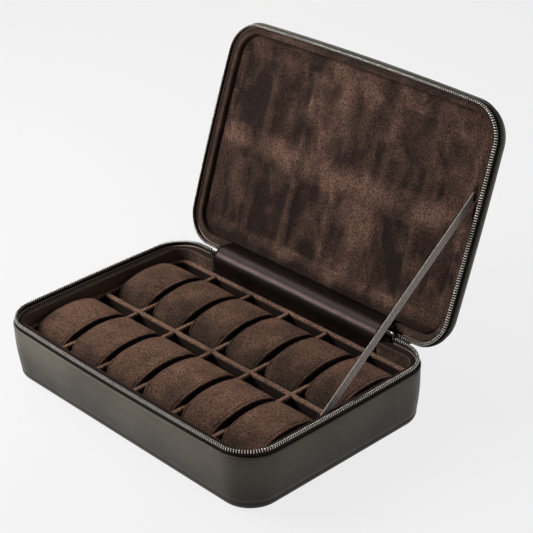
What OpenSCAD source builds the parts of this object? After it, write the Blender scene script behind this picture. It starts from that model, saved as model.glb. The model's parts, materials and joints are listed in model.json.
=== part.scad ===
/* [Outline] */
// Width of the closed zip line, side to side
zip_w = 330; // [310:1:360]
// Depth of the zip line, front to back
zip_d = 218; // [206:1:240]
// Corner radius of the zip line
corner_r = 30; // [28:0.5:34]
// Height of the zip line above the table
zip_z = 59.5; // [56:0.5:70]
// Height of the lid above the zip line
lid_h = 18; // [16:0.5:26]

/* [Leather shell] */
// How far the leather stands outside the zip line
wrap_out = 2.5; // [1.5:0.1:3.5]
// Thickness of the leather skin
leather_t = 1.6; // [1.2:0.1:2]
// How far the base walls lean in towards the foot
base_draft = 3; // [2:0.1:3.5]
// Rounding of the base's bottom edge
foot_r = 6; // [5.5:0.1:7]
// Rounding of the lid's top edge
crown_r = 5.5; // [5:0.1:6.5]
// Width of the leather turned under the base and over the lid
turn_w = 10; // [7:0.5:12]
// Thickness of the stiff boards
board_t = 3; // [2:0.1:3.4]
// Clearance between glued or sewn layers
sew_gap = 0.1; // [0.05:0.01:0.2]

/* [Zip] */
// Tape that shows between the leather edge and the zip line
tape_show = 5.5; // [4.5:0.1:7]
// Tape sewn in behind the leather edge
tape_sewn = 5; // [3:0.1:7]
// Thickness of the tape
tape_t = 0.9; // [0.7:0.05:1.1]
// Tape outer face, outside the zip line
tape_out = 0.3; // [0.1:0.05:0.4]
// Spacing of the teeth along the tape
tooth_pitch = 2.25; // [2.1:0.05:3]
// Width of one tooth along the tape
tooth_w = 0.95; // [0.7:0.05:0.98]
// Width of a tooth's tip
tip_w = 0.6; // [0.4:0.05:0.7]
// Thickness of one tooth across the tape
tooth_t = 2.6; // [2:0.1:2.8]
// How far each tooth reaches past the zip line into the other row
tooth_bite = 0.7; // [0.4:0.1:0.9]
// Height of one tooth
tooth_h = 2.4; // [2:0.1:2.8]
// Length of an end stop
stop_l = 1.8; // [1.2:0.1:2]
// Width of the edge binding inside the tape
bind_t = 1.4; // [1:0.1:1.6]
// How far the binding stands above the leather edge
bind_rise = 1.2; // [0.8:0.1:2]

/* [Lining and tray] */
// Thickness of the padded lining on the base walls
liner_t = 4.75; // [3.5:0.05:5.5]
// Corner radius of the base lining's inner face
liner_r = 14; // [13:0.5:15]
// Thickness of the padded lining on the lid walls
lid_liner_t = 3; // [2.5:0.1:3.8]
// Gap between the lining and the tray
tray_gap = 0.3; // [0.2:0.05:0.5]
// Thickness of the tray floor
tray_floor_t = 2; // [1.5:0.1:3]
// Height of the tray's top edge above the table
tray_z = 42.8; // [38:0.2:44]
// Thickness of the tray's outer frame
frame_t = 4.5; // [4:0.1:4.7]
// Thickness of the dividers
divider_t = 4.5; // [3:0.1:6]
// How far the lid pad's seam lies above the zip line
pad_depth = 11; // [9.8:0.1:11.4]
// How far the lid pad swells towards the base
pad_crown = 2.2; // [1:0.1:3]
// Gap around the lid pad
pad_gap = 0.4; // [0.3:0.05:0.6]

/* [Cushions] */
// Gap at each side of a cushion
side_gap = 1.15; // [0.6:0.05:2]
// Gap in front of and behind a cushion, for the watch strap
strap_gap = 5.9; // [5:0.1:8]
// Height of a cushion's top above the table
cushion_z = 52.3; // [46:0.1:54]
// Radius of the arched top
arch_r = 80; // [70:1:100]
// Rounding at both ends of the arch
shoulder_r = 14; // [12:0.5:16]
// How far the cushion's foot tucks in
foot_tuck = 3; // [1:0.5:5]
// Gap under a cushion
floor_gap = 0.3; // [0.2:0.05:0.5]

/* [Hinge and stay] */
// Angle that the lid stands open
open_deg = 110.6; // [100:0.2:112]
// Distance of the hinge line behind the zip line
hinge_back = 2.3; // [2:0.1:2.5]
// Distance of the hinge line below the zip line
hinge_drop = 2.3; // [2:0.1:2.6]
// Distance of the soft hinge's ends from the sides of the case
hinge_inset = 57; // [52:1:62]
// Thickness of the soft hinge leather
gusset_t = 1.2; // [0.9:0.1:1.4]
// Space between the inner and outer leather where the hinge arches
hinge_space = 2.2; // [1.4:0.1:2.6]
// Angle up from the table's plane, seen from the right, at which the inner leather starts to arch
fold_from = 158; // [150:1:165]
// Width of the stay ribbon
stay_w = 8.5; // [6:0.5:10]
// Thickness of the stay ribbon
stay_t = 0.6; // [0.4:0.1:0.8]
// Place of the stay's sewn end on the base, from the middle towards the back
stay_base_y = -16; // [-40:1:0]
// Place of the stay's sewn end on the lid, from the middle, with the lid closed
stay_lid_y = -33; // [-60:1:-20]
// Side of the sewn patch over the stay's end
patch_w = 9.4; // [8:0.1:9.6]
// Thickness of the sewn patch
patch_t = 0.8; // [0.5:0.1:1]

/* [Slider and pull] */
// Length of the zip slider along the tape
slider_l = 9.5; // [8:0.1:9.8]
// Height of the zip slider
slider_h = 8; // [7:0.1:8.2]
// How far the slider stands above the leather edge
slider_lift = 0.7; // [0.4:0.1:1]
// Thickness of each slider plate
plate_t = 1.4; // [1:0.1:1.5]
// Clearance between the slider and the tape
slider_gap = 0.2; // [0.15:0.01:0.25]
// Clearance between the parked slider and the end of the soft hinge
slider_room = 0.6; // [0.4:0.1:2]
// Radius of the link's pin
pin_r = 0.8; // [0.6:0.05:0.9]
// Radial clearance around the pin
pin_gap = 0.08; // [0.05:0.01:0.1]
// Wall around the pin's eye
eye_wall = 0.9; // [0.7:0.05:1]
// Width of the eye
eye_w = 3; // [2.4:0.1:3.6]
// Clearance of the pull beside the eye and off the leather
pull_gap = 0.4; // [0.3:0.05:0.6]
// Length of the metal link
link_l = 9; // [7:0.5:11]
// Thickness of the link's arms
arm_t = 1.4; // [1:0.1:1.5]
// Width of the leather tab
tab_w = 7.5; // [6:0.5:9]
// Length of the leather tab
tab_l = 20; // [14:1:24]
// Thickness of the leather tab
tab_t = 1.8; // [1.4:0.1:2]

/* [Hidden] */
$fn = 64;
columns = 6;
eps = 0.01;

// Offsets from the zip line, outwards positive.
tape_in = tape_out - tape_t;
bind_out = tape_in - sew_gap;
bind_in = bind_out - bind_t;
board_out = bind_in - sew_gap;
board_in = board_out - board_t;
liner_out = board_in - sew_gap;
liner_in = liner_out - liner_t;
lid_liner_in = liner_out - lid_liner_t;
tray_out = liner_in - tray_gap;
wrap_in = board_out + sew_gap;
rebate_in = tape_out + sew_gap;
tape_mid = (tape_out + tape_in) / 2;

// Heights in the base.
edge_z = zip_z - tape_show;
tape_foot_z = edge_z - tape_sewn;
shelf_z = tape_foot_z - sew_gap;
board_foot_z = leather_t + sew_gap;
board_floor_z = board_foot_z + board_t;
floor_top_z = board_floor_z + tray_floor_t;
bind_top_z = edge_z + bind_rise;
tape_top_z = zip_z + tooth_bite - tooth_h;
foot_x = wrap_out - base_draft - foot_r;

// Depths in the lid, measured from the zip line as if the lid were closed.
lid_in_top = lid_h - leather_t;
lid_board_top = lid_in_top - sew_gap;
lid_board_under = lid_board_top - board_t;
lid_pad_top = lid_board_under - sew_gap;

// The tray and its cells.
tray_hx = zip_w / 2 + tray_out;
tray_hy = zip_d / 2 + tray_out;
tray_r = liner_r - tray_gap;
cell_hx = tray_hx - frame_t;
cell_hy = tray_hy - frame_t;
cell_w = (2 * cell_hx - (columns - 1) * divider_t) / columns;
cell_l = cell_hy - divider_t / 2;
pitch_x = cell_w + divider_t;
row_y = divider_t / 2 + cell_l / 2;
cushion_w = cell_w - 2 * side_gap;
cushion_hl = cell_l / 2 - strap_gap;
cushion_foot_z = floor_top_z + floor_gap;

// The hinge line.
hinge_y = zip_d / 2 + hinge_back;
hinge_z = zip_z - hinge_drop;
hinge_half = zip_w / 2 - hinge_inset;

// A point of the closed lid, as [y, z], where the open lid has it.
function lid_point(y, z) = [
    hinge_y + (y - hinge_y) * cos(open_deg) + (z - hinge_z) * sin(open_deg),
    hinge_z - (y - hinge_y) * sin(open_deg) + (z - hinge_z) * cos(open_deg)];

// The end stops at both ends of the chain, and the slider and its pull at the right one.
slider_x = hinge_half + slider_room + slider_l / 2;
stop_x = slider_x + slider_l / 2 + slider_gap + stop_l / 2;
stop_h = tooth_h - 2 * tooth_bite - sew_gap;
chain_end = stop_x + stop_l;
slider_z = edge_z + slider_lift;
pin_y = zip_d / 2 + wrap_out + pull_gap + tab_t / 2;
pin_z = slider_z + slider_h / 2;
eye_r = pin_r + pin_gap + eye_wall;
arm_x = eye_w / 2 + pull_gap;

// The chain runs from the middle of the front both ways round to the hinge side.
half_front = zip_w / 2 - corner_r;
side_len = zip_d - 2 * corner_r;
arc_len = corner_r * PI / 2;
rear_len = half_front - chain_end;
half_chain = half_front + arc_len + side_len + arc_len + rear_len;

// A rounded rectangle that lies off the zip line by a given offset.
module outline(off) {
    rounded(zip_w / 2 + off, zip_d / 2 + off, corner_r + off);
}

module rounded(hx, hy, r) {
    square([2 * hx, 2 * (hy - r)], center = true);
    square([2 * (hx - r), 2 * hy], center = true);
    for (sx = [-1, 1], sy = [-1, 1])
        translate([sx * (hx - r), sy * (hy - r)])
            circle(r);
}

module ring(outer, inner, z0, z1) {
    translate([0, 0, z0])
        linear_extrude(z1 - z0)
            difference() {
                outline(outer);
                outline(inner);
            }
}

// Sweeps a flat profile (x outwards from the zip line, y up) round the case.
module sweep() {
    for (s = [0, 1]) {
        rotate(180 * s) {
            translate([zip_w / 2, zip_d / 2 - corner_r, 0])
                rotate([90, 0, 0])
                    linear_extrude(side_len)
                        children();
            translate([-half_front, zip_d / 2, 0])
                rotate([90, 0, 90])
                    linear_extrude(2 * half_front)
                        children();
            translate([zip_w / 2 - corner_r, zip_d / 2 - corner_r, 0])
                rotate_extrude(angle = 90)
                    translate([corner_r, 0])
                        children();
            translate([-half_front, zip_d / 2 - corner_r, 0])
                rotate([0, 0, 90])
                    rotate_extrude(angle = 90)
                        translate([corner_r, 0])
                            children();
        }
    }
}

// Stands a closed lid piece open about the hinge line.
module opened() {
    translate([0, hinge_y, hinge_z])
        rotate([-open_deg, 0, 0])
            translate([0, -hinge_y, -hinge_z])
                children();
}

// Turns a height above the zip line into a lid height.
module above_zip() {
    translate([0, 0, zip_z])
        children();
}

// Keeps the hinge side clear between two ends that lie a given distance from its middle.
module rear_gap(half) {
    translate([-half, 0, -eps])
        cube([2 * half, zip_d, zip_z + lid_h + 2 * eps]);
}

// ---- Base ----

module base_board() {
    color("burlywood") {
        sweep()
            board_profile();
        translate([0, 0, board_foot_z])
            linear_extrude(board_t)
                outline(foot_x);
    }
}

// An upright wall whose foot follows the leather's rounded edge.
module board_profile() {
    difference() {
        translate([foot_x, board_foot_z])
            square([board_out - foot_x, edge_z - board_foot_z]);
        difference() {
            translate([foot_x, 0])
                square([board_out - foot_x + eps, foot_r]);
            translate([foot_x, foot_r])
                circle(foot_r - board_foot_z);
        }
        translate([foot_x - eps, board_floor_z])
            square([board_in - foot_x + eps, edge_z]);
    }
}

module base_wrap() {
    color("dimgray")
        sweep()
            wrap_profile();
}

// The skin leans in to the foot, turns under it, and is cut back for the tape.
module wrap_profile() {
    difference() {
        union() {
            polygon([[foot_x, foot_r], [foot_x + foot_r, foot_r], [wrap_out, edge_z], [foot_x, edge_z]]);
            translate([foot_x, foot_r])
                circle(foot_r);
            translate([foot_x - turn_w, 0])
                square([turn_w, leather_t]);
        }
        translate([foot_x - foot_r - eps, leather_t])
            square([foot_r + eps, edge_z]);
        translate([foot_x - eps, foot_r])
            square([wrap_in - foot_x + eps, edge_z]);
        intersection() {
            translate([foot_x, foot_r])
                circle(foot_r - leather_t);
            translate([foot_x - foot_r, 0])
                square([wrap_in - foot_x + foot_r, 2 * foot_r]);
        }
        translate([foot_x - eps, shelf_z])
            square([rebate_in - foot_x + eps, edge_z]);
    }
}

module base_sole() {
    color("darkslategray")
        linear_extrude(leather_t)
            outline(foot_x - turn_w - sew_gap);
}

module base_tape() {
    color("black")
        difference() {
            ring(tape_out, tape_in, tape_foot_z, tape_top_z);
            rear_gap(hinge_half + sew_gap);
        }
}

// The point and heading of the chain at a distance s from the middle of the front.
function chain_at(s) =
    s <= half_front ? [s, -zip_d / 2, 0]
    : s <= half_front + arc_len ? chain_arc(s - half_front, -1)
    : s <= half_front + arc_len + side_len ? [zip_w / 2, corner_r - zip_d / 2 + s - half_front - arc_len, 90]
    : s <= half_front + 2 * arc_len + side_len ? chain_arc(s - half_front - arc_len - side_len, 1)
    : [half_front - (s - half_front - 2 * arc_len - side_len), zip_d / 2, 180];

function chain_arc(u, end) = let(a = u / corner_r * 180 / PI)
    end < 0 ? [half_front + corner_r * sin(a), corner_r - zip_d / 2 - corner_r * cos(a), a]
    : [half_front + corner_r * cos(a), zip_d / 2 - corner_r + corner_r * sin(a), 90 + a];

module half_chain_teeth(first, z) {
    for (s = [first * tooth_pitch : tooth_pitch : half_chain]) {
        p = chain_at(s);
        translate([p[0], p[1], z])
            rotate(p[2])
                translate([0, tooth_t / 2 - tape_mid, 0])
                    rotate([90, 0, 0])
                        linear_extrude(tooth_t)
                            children();
    }
}

// A tooth narrows where it reaches between the teeth of the other row.
module tooth() {
    root_h = tooth_h - 2 * tooth_bite;
    polygon([[-tooth_w / 2, 0], [tooth_w / 2, 0], [tooth_w / 2, root_h], [tip_w / 2, tooth_h],
        [-tip_w / 2, tooth_h], [-tooth_w / 2, root_h]]);
}

module base_teeth() {
    color("silver") {
        half_chain_teeth(0.5, tape_top_z)
            tooth();
        mirror([1, 0, 0])
            half_chain_teeth(0.5, tape_top_z)
                tooth();
    }
}

// The end stops are lower than the teeth, so that the two rows' stops close face to face.
module stops(z) {
    for (side = [-1, 1])
        translate([side * stop_x - stop_l / 2, zip_d / 2 + tape_mid - tooth_t / 2, z])
            cube([stop_l, tooth_t, stop_h]);
}

module base_stops() {
    color("gray")
        stops(tape_top_z);
}

module base_binding() {
    color("rosybrown")
        difference() {
            ring(bind_out, bind_in, tape_foot_z, bind_top_z);
            rear_gap(chain_end);
        }
}

module base_liner() {
    color("saddlebrown")
        difference() {
            translate([0, 0, board_floor_z])
                linear_extrude(edge_z - board_floor_z)
                    difference() {
                        outline(liner_out);
                        rounded(zip_w / 2 + liner_in, zip_d / 2 + liner_in, liner_r);
                    }
            rear_gap(hinge_half + sew_gap);
        }
}

module base_back_panel() {
    color("maroon")
        translate([-hinge_half, zip_d / 2 + liner_in, board_floor_z])
            cube([2 * hinge_half, liner_t, edge_z - board_floor_z]);
}

module tray_floor() {
    color("sienna")
        translate([0, 0, board_floor_z])
            linear_extrude(tray_floor_t)
                rounded(tray_hx, tray_hy, tray_r);
}

module tray_frame() {
    color("peru")
        translate([0, 0, floor_top_z])
            linear_extrude(tray_z - floor_top_z)
                difference() {
                    rounded(tray_hx, tray_hy, tray_r);
                    rounded(cell_hx, cell_hy, tray_r - frame_t);
                }
}

module long_divider() {
    color("tan")
        translate([-cell_hx, -divider_t / 2, floor_top_z])
            cube([2 * cell_hx, divider_t, tray_z - floor_top_z]);
}

module cross_dividers() {
    color("wheat")
        for (i = [1 : columns - 1], row = [-1, 1])
            translate([(i - columns / 2) * pitch_x - divider_t / 2, row * row_y - cell_l / 2, floor_top_z])
                cube([divider_t, cell_l, tray_z - floor_top_z]);
}

// ---- Cushions ----

module cushion(column, row) {
    color("chocolate")
        translate([(column - (columns + 1) / 2) * pitch_x - cushion_w / 2, row * row_y, 0])
            rotate([90, 0, 90])
                linear_extrude(cushion_w)
                    cushion_profile();
}

// A flat arch with round shoulders on straight sides that tuck in at the foot.
module cushion_profile() {
    arch_c = cushion_z - arch_r;
    shoulder_y = cushion_hl - shoulder_r;
    shoulder_z = arch_c + sqrt(pow(arch_r - shoulder_r, 2) - pow(shoulder_y, 2));
    tangent_y = shoulder_y * arch_r / (arch_r - shoulder_r);
    tangent_z = arch_c + (shoulder_z - arch_c) * arch_r / (arch_r - shoulder_r);
    intersection() {
        translate([0, arch_c])
            circle(arch_r, $fn = 200);
        translate([-tangent_y, tangent_z])
            square([2 * tangent_y, cushion_z]);
    }
    for (side = [-1, 1])
        translate([side * shoulder_y, shoulder_z])
            circle(shoulder_r);
    polygon([[-tangent_y, tangent_z], [-shoulder_y, shoulder_z], [-cushion_hl, shoulder_z],
        [foot_tuck - cushion_hl, cushion_foot_z], [cushion_hl - foot_tuck, cushion_foot_z],
        [cushion_hl, shoulder_z], [shoulder_y, shoulder_z], [tangent_y, tangent_z]]);
}

module cushion_f1() { cushion(1, -1); }
module cushion_f2() { cushion(2, -1); }
module cushion_f3() { cushion(3, -1); }
module cushion_f4() { cushion(4, -1); }
module cushion_f5() { cushion(5, -1); }
module cushion_f6() { cushion(6, -1); }
module cushion_b1() { cushion(1, 1); }
module cushion_b2() { cushion(2, 1); }
module cushion_b3() { cushion(3, 1); }
module cushion_b4() { cushion(4, 1); }
module cushion_b5() { cushion(5, 1); }
module cushion_b6() { cushion(6, 1); }

// ---- Lid, drawn closed and stood open ----

// A level band of the lid between two depths above the zip line.
module lid_ring(outer, inner, depth0, depth1) {
    ring(outer, inner, zip_z + depth0, zip_z + depth1);
}

module lid_board() {
    color("burlywood")
        opened() {
            lid_ring(board_out, board_in, tape_show, lid_board_under);
            translate([0, 0, zip_z + lid_board_under])
                linear_extrude(board_t)
                    outline(board_out);
        }
}

module lid_wrap() {
    color("dimgray")
        opened()
            translate([0, 0, zip_z])
                sweep()
                    lid_wrap_profile();
}

// The skin rises straight, rounds over the top and is cut back for the tape.
module lid_wrap_profile() {
    crown_x = wrap_out - crown_r;
    crown_z = lid_h - crown_r;
    difference() {
        union() {
            translate([wrap_in, tape_show])
                square([wrap_out - wrap_in, crown_z - tape_show]);
            translate([crown_x, crown_z])
                circle(crown_r);
            translate([crown_x - turn_w, lid_in_top])
                square([turn_w, leather_t]);
        }
        translate([crown_x - crown_r - eps, 0])
            square([wrap_in - crown_x + crown_r + eps, lid_in_top]);
        translate([crown_x - eps, 0])
            square([rebate_in - crown_x + eps, tape_show + tape_sewn + sew_gap]);
    }
}

module lid_top() {
    color("darkslategray")
        opened()
            translate([0, 0, zip_z + lid_in_top])
                linear_extrude(leather_t)
                    outline(wrap_out - crown_r - turn_w - sew_gap);
}

module lid_tape() {
    color("black")
        opened()
            difference() {
                lid_ring(tape_out, tape_in, tooth_h - tooth_bite, tape_show + tape_sewn);
                rear_gap(stop_x - stop_l / 2);
            }
}

module lid_teeth() {
    color("silver")
        opened() {
            half_chain_teeth(0, zip_z - tooth_bite)
                lid_tooth();
            mirror([1, 0, 0])
                half_chain_teeth(1, zip_z - tooth_bite)
                    lid_tooth();
        }
}

module lid_tooth() {
    translate([0, tooth_h])
        mirror([0, 1])
            tooth();
}

module lid_stops() {
    color("gray")
        opened()
            stops(zip_z + tooth_h - tooth_bite - stop_h);
}

module lid_binding() {
    color("rosybrown")
        opened()
            difference() {
                lid_ring(bind_out, bind_in, tape_show - bind_rise, tape_show + tape_sewn);
                rear_gap(chain_end);
            }
}

module lid_liner() {
    color("saddlebrown")
        opened()
            difference() {
                lid_ring(liner_out, lid_liner_in, tape_show, lid_pad_top);
                rear_gap(hinge_half + sew_gap);
            }
}

module lid_back_panel() {
    color("maroon")
        opened()
            translate([-hinge_half, zip_d / 2 + lid_liner_in, zip_z + tape_show])
                cube([2 * hinge_half, lid_liner_t, lid_pad_top - tape_show]);
}

// The pad is thin at its seam and swells in a low step towards the base.
module lid_pad() {
    pad_out = lid_liner_in - pad_gap;
    color("sienna")
        opened() {
            translate([0, 0, zip_z + pad_depth])
                linear_extrude(lid_pad_top - pad_depth)
                    outline(pad_out);
            translate([0, 0, zip_z + pad_depth - pad_crown])
                linear_extrude(pad_crown)
                    outline(pad_out - patch_w);
        }
}

// ---- Soft hinge and stay ----

// The outer leather leaves the base's edge upwards and meets the lid's edge squarely. Both
// layers turn about one line: bend_c is its place, as [y, z], and bend_r the outer layer's radius.
edge_y = zip_d / 2 + (rebate_in + wrap_out) / 2;
spine_a = [edge_y, edge_z + sew_gap];
spine_b = lid_point(edge_y, zip_z + tape_show - sew_gap);
lid_run = (spine_b[0] - spine_a[0]) / sin(open_deg);
base_run = spine_b[1] - lid_run * cos(open_deg) - spine_a[1];
bend_run = min(lid_run, base_run);
bend_r = bend_run / tan(open_deg / 2);
bend_c = spine_a + [bend_r, base_run - bend_run];
fold_r = bend_r + hinge_space + gusset_t;

function polar(r, a) = r * [cos(a), sin(a)];

module along_hinge() {
    translate([-hinge_half, 0, 0])
        rotate([90, 0, 90])
            linear_extrude(2 * hinge_half)
                children();
}

module hinge_spine() {
    h = gusset_t / 2;
    end = 180 - open_deg;
    turn = [for (i = [0 : 16]) 180 - open_deg * i / 16];
    low = base_run > bend_run ? [spine_a] : [];
    high = lid_run > bend_run ? [spine_b] : [];
    color("dimgray")
        along_hinge()
            polygon(concat(
                [for (p = low) p - [h, 0]],
                [for (a = turn) bend_c + polar(bend_r + h, a)],
                [for (p = high) p + polar(h, end)],
                [for (p = high) p - polar(h, end)],
                [for (i = [16 : -1 : 0]) bend_c + polar(bend_r - h, turn[i])],
                [for (p = low) p + [h, 0]]));
}

// A strip of even thickness t along a line of points.
function strip(p, t) = let(
    n = len(p) - 1,
    side = [for (i = [0 : n]) let(
        d = p[min(i + 1, n)] - p[max(i - 1, 0)],
        u = d / norm(d)) [-u[1], u[0]] * t / 2])
    concat([for (i = [0 : n]) p[i] + side[i]], [for (i = [n : -1 : 0]) p[i] - side[i]]);

// From the base's padded back over the hinge line to the lid's padded back.
module hinge_gusset() {
    inner_y = zip_d / 2 + liner_in + gusset_t;
    wall_y = zip_d / 2 + board_in;
    lid_inner_y = zip_d / 2 + lid_liner_in + gusset_t;
    lay = gusset_t / 2 + sew_gap;
    base_z = edge_z + lay;
    lid_z = zip_z + tape_show - lay;
    color("maroon")
        along_hinge()
            polygon(strip(concat(
                [[inner_y, base_z], [wall_y, base_z]],
                [for (i = [0 : 8]) bend_c + polar(fold_r, fold_from - open_deg * i / 8)],
                [lid_point(wall_y + board_t, lid_z), lid_point(wall_y, lid_z),
                    lid_point(lid_inner_y, lid_z)]), gusset_t));
}

stay_x = zip_w / 2 + liner_in - sew_gap - stay_t;
stay_base_z = edge_z - patch_w / 2;
stay_lid_z = pad_depth - pad_gap - stay_w / 2;

module stay_ribbon() {
    low = [stay_base_y, stay_base_z];
    high = lid_point(stay_lid_y, zip_z + stay_lid_z);
    run = high - low;
    color("gainsboro")
        translate([stay_x, low[0], low[1]])
            rotate([atan2(run[1], run[0]), 0, 0])
                translate([0, 0, -stay_w / 2])
                    cube([stay_t, norm(run), stay_w]);
}

module base_stay_patch() {
    color("saddlebrown")
        translate([stay_x - sew_gap - patch_t, stay_base_y - patch_w / 2, stay_base_z - patch_w / 2])
            cube([patch_t, patch_w, patch_w]);
}

module lid_stay_patch() {
    x0 = stay_x + stay_t + sew_gap;
    color("saddlebrown")
        opened()
            translate([x0, stay_lid_y - patch_w / 2, zip_z + tape_show])
                cube([zip_w / 2 + lid_liner_in - x0, patch_w, pad_depth - pad_gap - tape_show]);
}

// ---- Slider and pull ----

module slider() {
    inner_y = zip_d / 2 + tape_in - slider_gap - plate_t;
    outer_y = zip_d / 2 + tape_out + slider_gap;
    post_z = tape_top_z + slider_gap;
    post_l = slider_l / 3;
    color("silver")
        translate([slider_x, 0, 0])
            difference() {
                union() {
                    for (y = [inner_y, outer_y])
                        translate([-slider_l / 2, y, slider_z])
                            cube([slider_l, plate_t, slider_h]);
                    translate([-post_l / 2, inner_y, post_z])
                        cube([post_l, outer_y + plate_t - inner_y, slider_z + slider_h - post_z]);
                    translate([-eye_w / 2, outer_y, pin_z - eye_r])
                        cube([eye_w, pin_y - outer_y, 2 * eye_r]);
                    translate([-eye_w / 2, pin_y, pin_z])
                        rotate([0, 90, 0])
                            cylinder(r = eye_r, h = eye_w);
                }
                translate([-eye_w, pin_y, pin_z])
                    rotate([0, 90, 0])
                        cylinder(r = pin_r + pin_gap, h = 2 * eye_w);
            }
}

// Two arms hang on the pin and meet in a bar above the tab.
module pull_link() {
    arm_r = tab_t / 2;
    half = arm_x + arm_t;
    color("lightsteelblue")
        translate([slider_x, pin_y, pin_z]) {
            translate([-half, 0, 0])
                rotate([0, 90, 0])
                    cylinder(r = pin_r, h = 2 * half);
            for (x = [-half, arm_x]) {
                translate([x, 0, 0])
                    rotate([0, 90, 0])
                        cylinder(r = arm_r, h = arm_t);
                translate([x, -arm_r, -link_l])
                    cube([arm_t, 2 * arm_r, link_l]);
            }
            translate([-half, -arm_r, -link_l])
                cube([2 * half, 2 * arm_r, arm_t]);
        }
}

module pull_tab() {
    end_r = tab_w / 2;
    color("dimgray")
        translate([slider_x, pin_y - tab_t / 2, pin_z - link_l])
            rotate([-90, 0, 0])
                linear_extrude(tab_t) {
                    translate([-end_r, 0])
                        square([tab_w, tab_l - end_r]);
                    translate([0, tab_l - end_r])
                        circle(end_r);
                }
}

base_board();
base_wrap();
base_sole();
base_tape();
base_teeth();
base_stops();
base_binding();
base_liner();
base_back_panel();
tray_floor();
tray_frame();
long_divider();
cross_dividers();
slider();
pull_link();
pull_tab();
base_stay_patch();
lid_stay_patch();
stay_ribbon();
hinge_gusset();
hinge_spine();
lid_board();
lid_wrap();
lid_top();
lid_tape();
lid_teeth();
lid_stops();
lid_binding();
lid_liner();
lid_back_panel();
lid_pad();
cushion_f1();
cushion_f2();
cushion_f3();
cushion_f4();
cushion_f5();
cushion_f6();
cushion_b1();
cushion_b2();
cushion_b3();
cushion_b4();
cushion_b5();
cushion_b6();
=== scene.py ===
import json
from math import asin, cos, pi, radians, sin, sqrt, tan
import bmesh
import bpy
import numpy as np
from mathutils import Matrix, Vector, noise

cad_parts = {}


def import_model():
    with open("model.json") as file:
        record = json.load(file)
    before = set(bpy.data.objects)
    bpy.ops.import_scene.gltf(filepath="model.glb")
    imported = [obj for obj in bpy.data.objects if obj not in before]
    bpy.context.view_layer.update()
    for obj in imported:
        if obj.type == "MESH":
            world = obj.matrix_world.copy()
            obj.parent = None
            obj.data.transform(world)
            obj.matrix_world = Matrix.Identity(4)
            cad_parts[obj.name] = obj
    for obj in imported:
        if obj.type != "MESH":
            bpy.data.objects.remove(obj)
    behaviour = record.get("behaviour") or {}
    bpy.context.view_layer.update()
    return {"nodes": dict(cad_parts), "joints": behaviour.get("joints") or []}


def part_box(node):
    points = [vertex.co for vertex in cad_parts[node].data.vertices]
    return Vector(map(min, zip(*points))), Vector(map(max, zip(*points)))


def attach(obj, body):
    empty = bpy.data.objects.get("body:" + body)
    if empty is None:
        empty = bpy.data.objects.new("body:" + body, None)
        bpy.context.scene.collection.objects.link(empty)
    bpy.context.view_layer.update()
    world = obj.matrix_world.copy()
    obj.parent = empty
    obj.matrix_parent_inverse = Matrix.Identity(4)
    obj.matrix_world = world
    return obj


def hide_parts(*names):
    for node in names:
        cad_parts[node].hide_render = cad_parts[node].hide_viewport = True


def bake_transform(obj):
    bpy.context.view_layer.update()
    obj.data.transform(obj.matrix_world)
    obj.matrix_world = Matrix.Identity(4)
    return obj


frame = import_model()

# ---- Sizes in metres, as in the part's source ----
CORNER_R = 0.030  # corner radius of the zip line
LINER_R = 0.014  # corner radius of the base lining's inner face
TAPE_OUT = 0.0003  # zip tape's outer face, outside the zip line
TAPE_T = 0.0009
TAPE_SHOW = 0.0055  # tape that shows between the leather edge and the zip line
TAPE_SEWN = 0.005
TOOTH_PITCH = 0.00225
TOOTH_H = 0.0024
TOOTH_T = 0.0026
TOOTH_BITE = 0.0007  # how far a tooth reaches past the zip line
WRAP_OUT = 0.0025  # leather face, outside the zip line
LEATHER_T = 0.0016
BASE_DRAFT = 0.003
FOOT_R = 0.006
CROWN_R = 0.0055
TURN_W = 0.010  # leather turned under the base and over the lid
LID_TAPE_STOP = 0.0027  # the lid's tape reaches past the chain's end
BIND_OUT = -0.0007  # the edge binding's outer and inner faces
BIND_IN = -0.0021
BIND_RISE = 0.0012
LINER_OUT = -0.0053  # the padded lining's outer face
LID_LINER_IN = -0.0083  # the lid lining's inner face
FRAME_T = 0.0045  # tray frame and dividers
LID_H = 0.018
PAD_GAP = 0.0004  # between the lid's lining and its pad
PAD_DEPTH = 0.011  # depth of the lid pad's seam
PAD_CROWN = 0.0022
COLUMNS = 6

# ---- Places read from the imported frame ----
HINGE, SWING = (next(j for j in frame["joints"] if j["name"] == name) for name in ("lid_hinge", "pull_swing"))
HINGE_Y, HINGE_Z = HINGE["pos_m"][1:]
OPEN = -radians(HINGE["range_deg"][0])
HALF_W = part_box("base_tape")[1].x - TAPE_OUT
HALF_D = -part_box("base_tape")[0].y - TAPE_OUT
EDGE_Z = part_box("base_wrap")[1].z
ZIP_Z = EDGE_Z + TAPE_SHOW
LID_EDGE_Z = ZIP_Z + TAPE_SHOW
LID_TOP_Z = ZIP_Z + LID_H
BOARD_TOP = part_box("base_liner")[0].z
LINER_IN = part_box("base_back_panel")[0].y - HALF_D
TRAY_FLOOR_Z, TRAY_Z = (corner.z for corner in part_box("tray_frame"))
TRAY_HX, TRAY_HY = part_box("tray_frame")[1].xy
TRAY_R = LINER_R - 0.0003
CHAIN_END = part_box("base_stops")[1].x + 0.0009
HINGE_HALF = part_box("hinge_gusset")[1].x
LID_PAD_TOP = LID_TOP_Z - 0.0048

# ---- Soft shape: the stitched walls bow outwards between the corners ----
BOW_FRONT = 0.0028
BOW_SIDE = 0.0014
BOW_POWER = 6
BOW_HEIGHT = 0.045  # the base's walls belly fully from this height up
LID_SLACK = 0.0018  # and the lid's left wall by this much more


def smooth_step(x):
    x = np.clip(x, 0, 1)
    return x * x * (3 - 2 * x)


def between(a, b, share):
    return a + (b - a) * share


def unit(v):
    return v / np.maximum(np.linalg.norm(v, axis=-1, keepdims=True), 1e-9)


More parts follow.
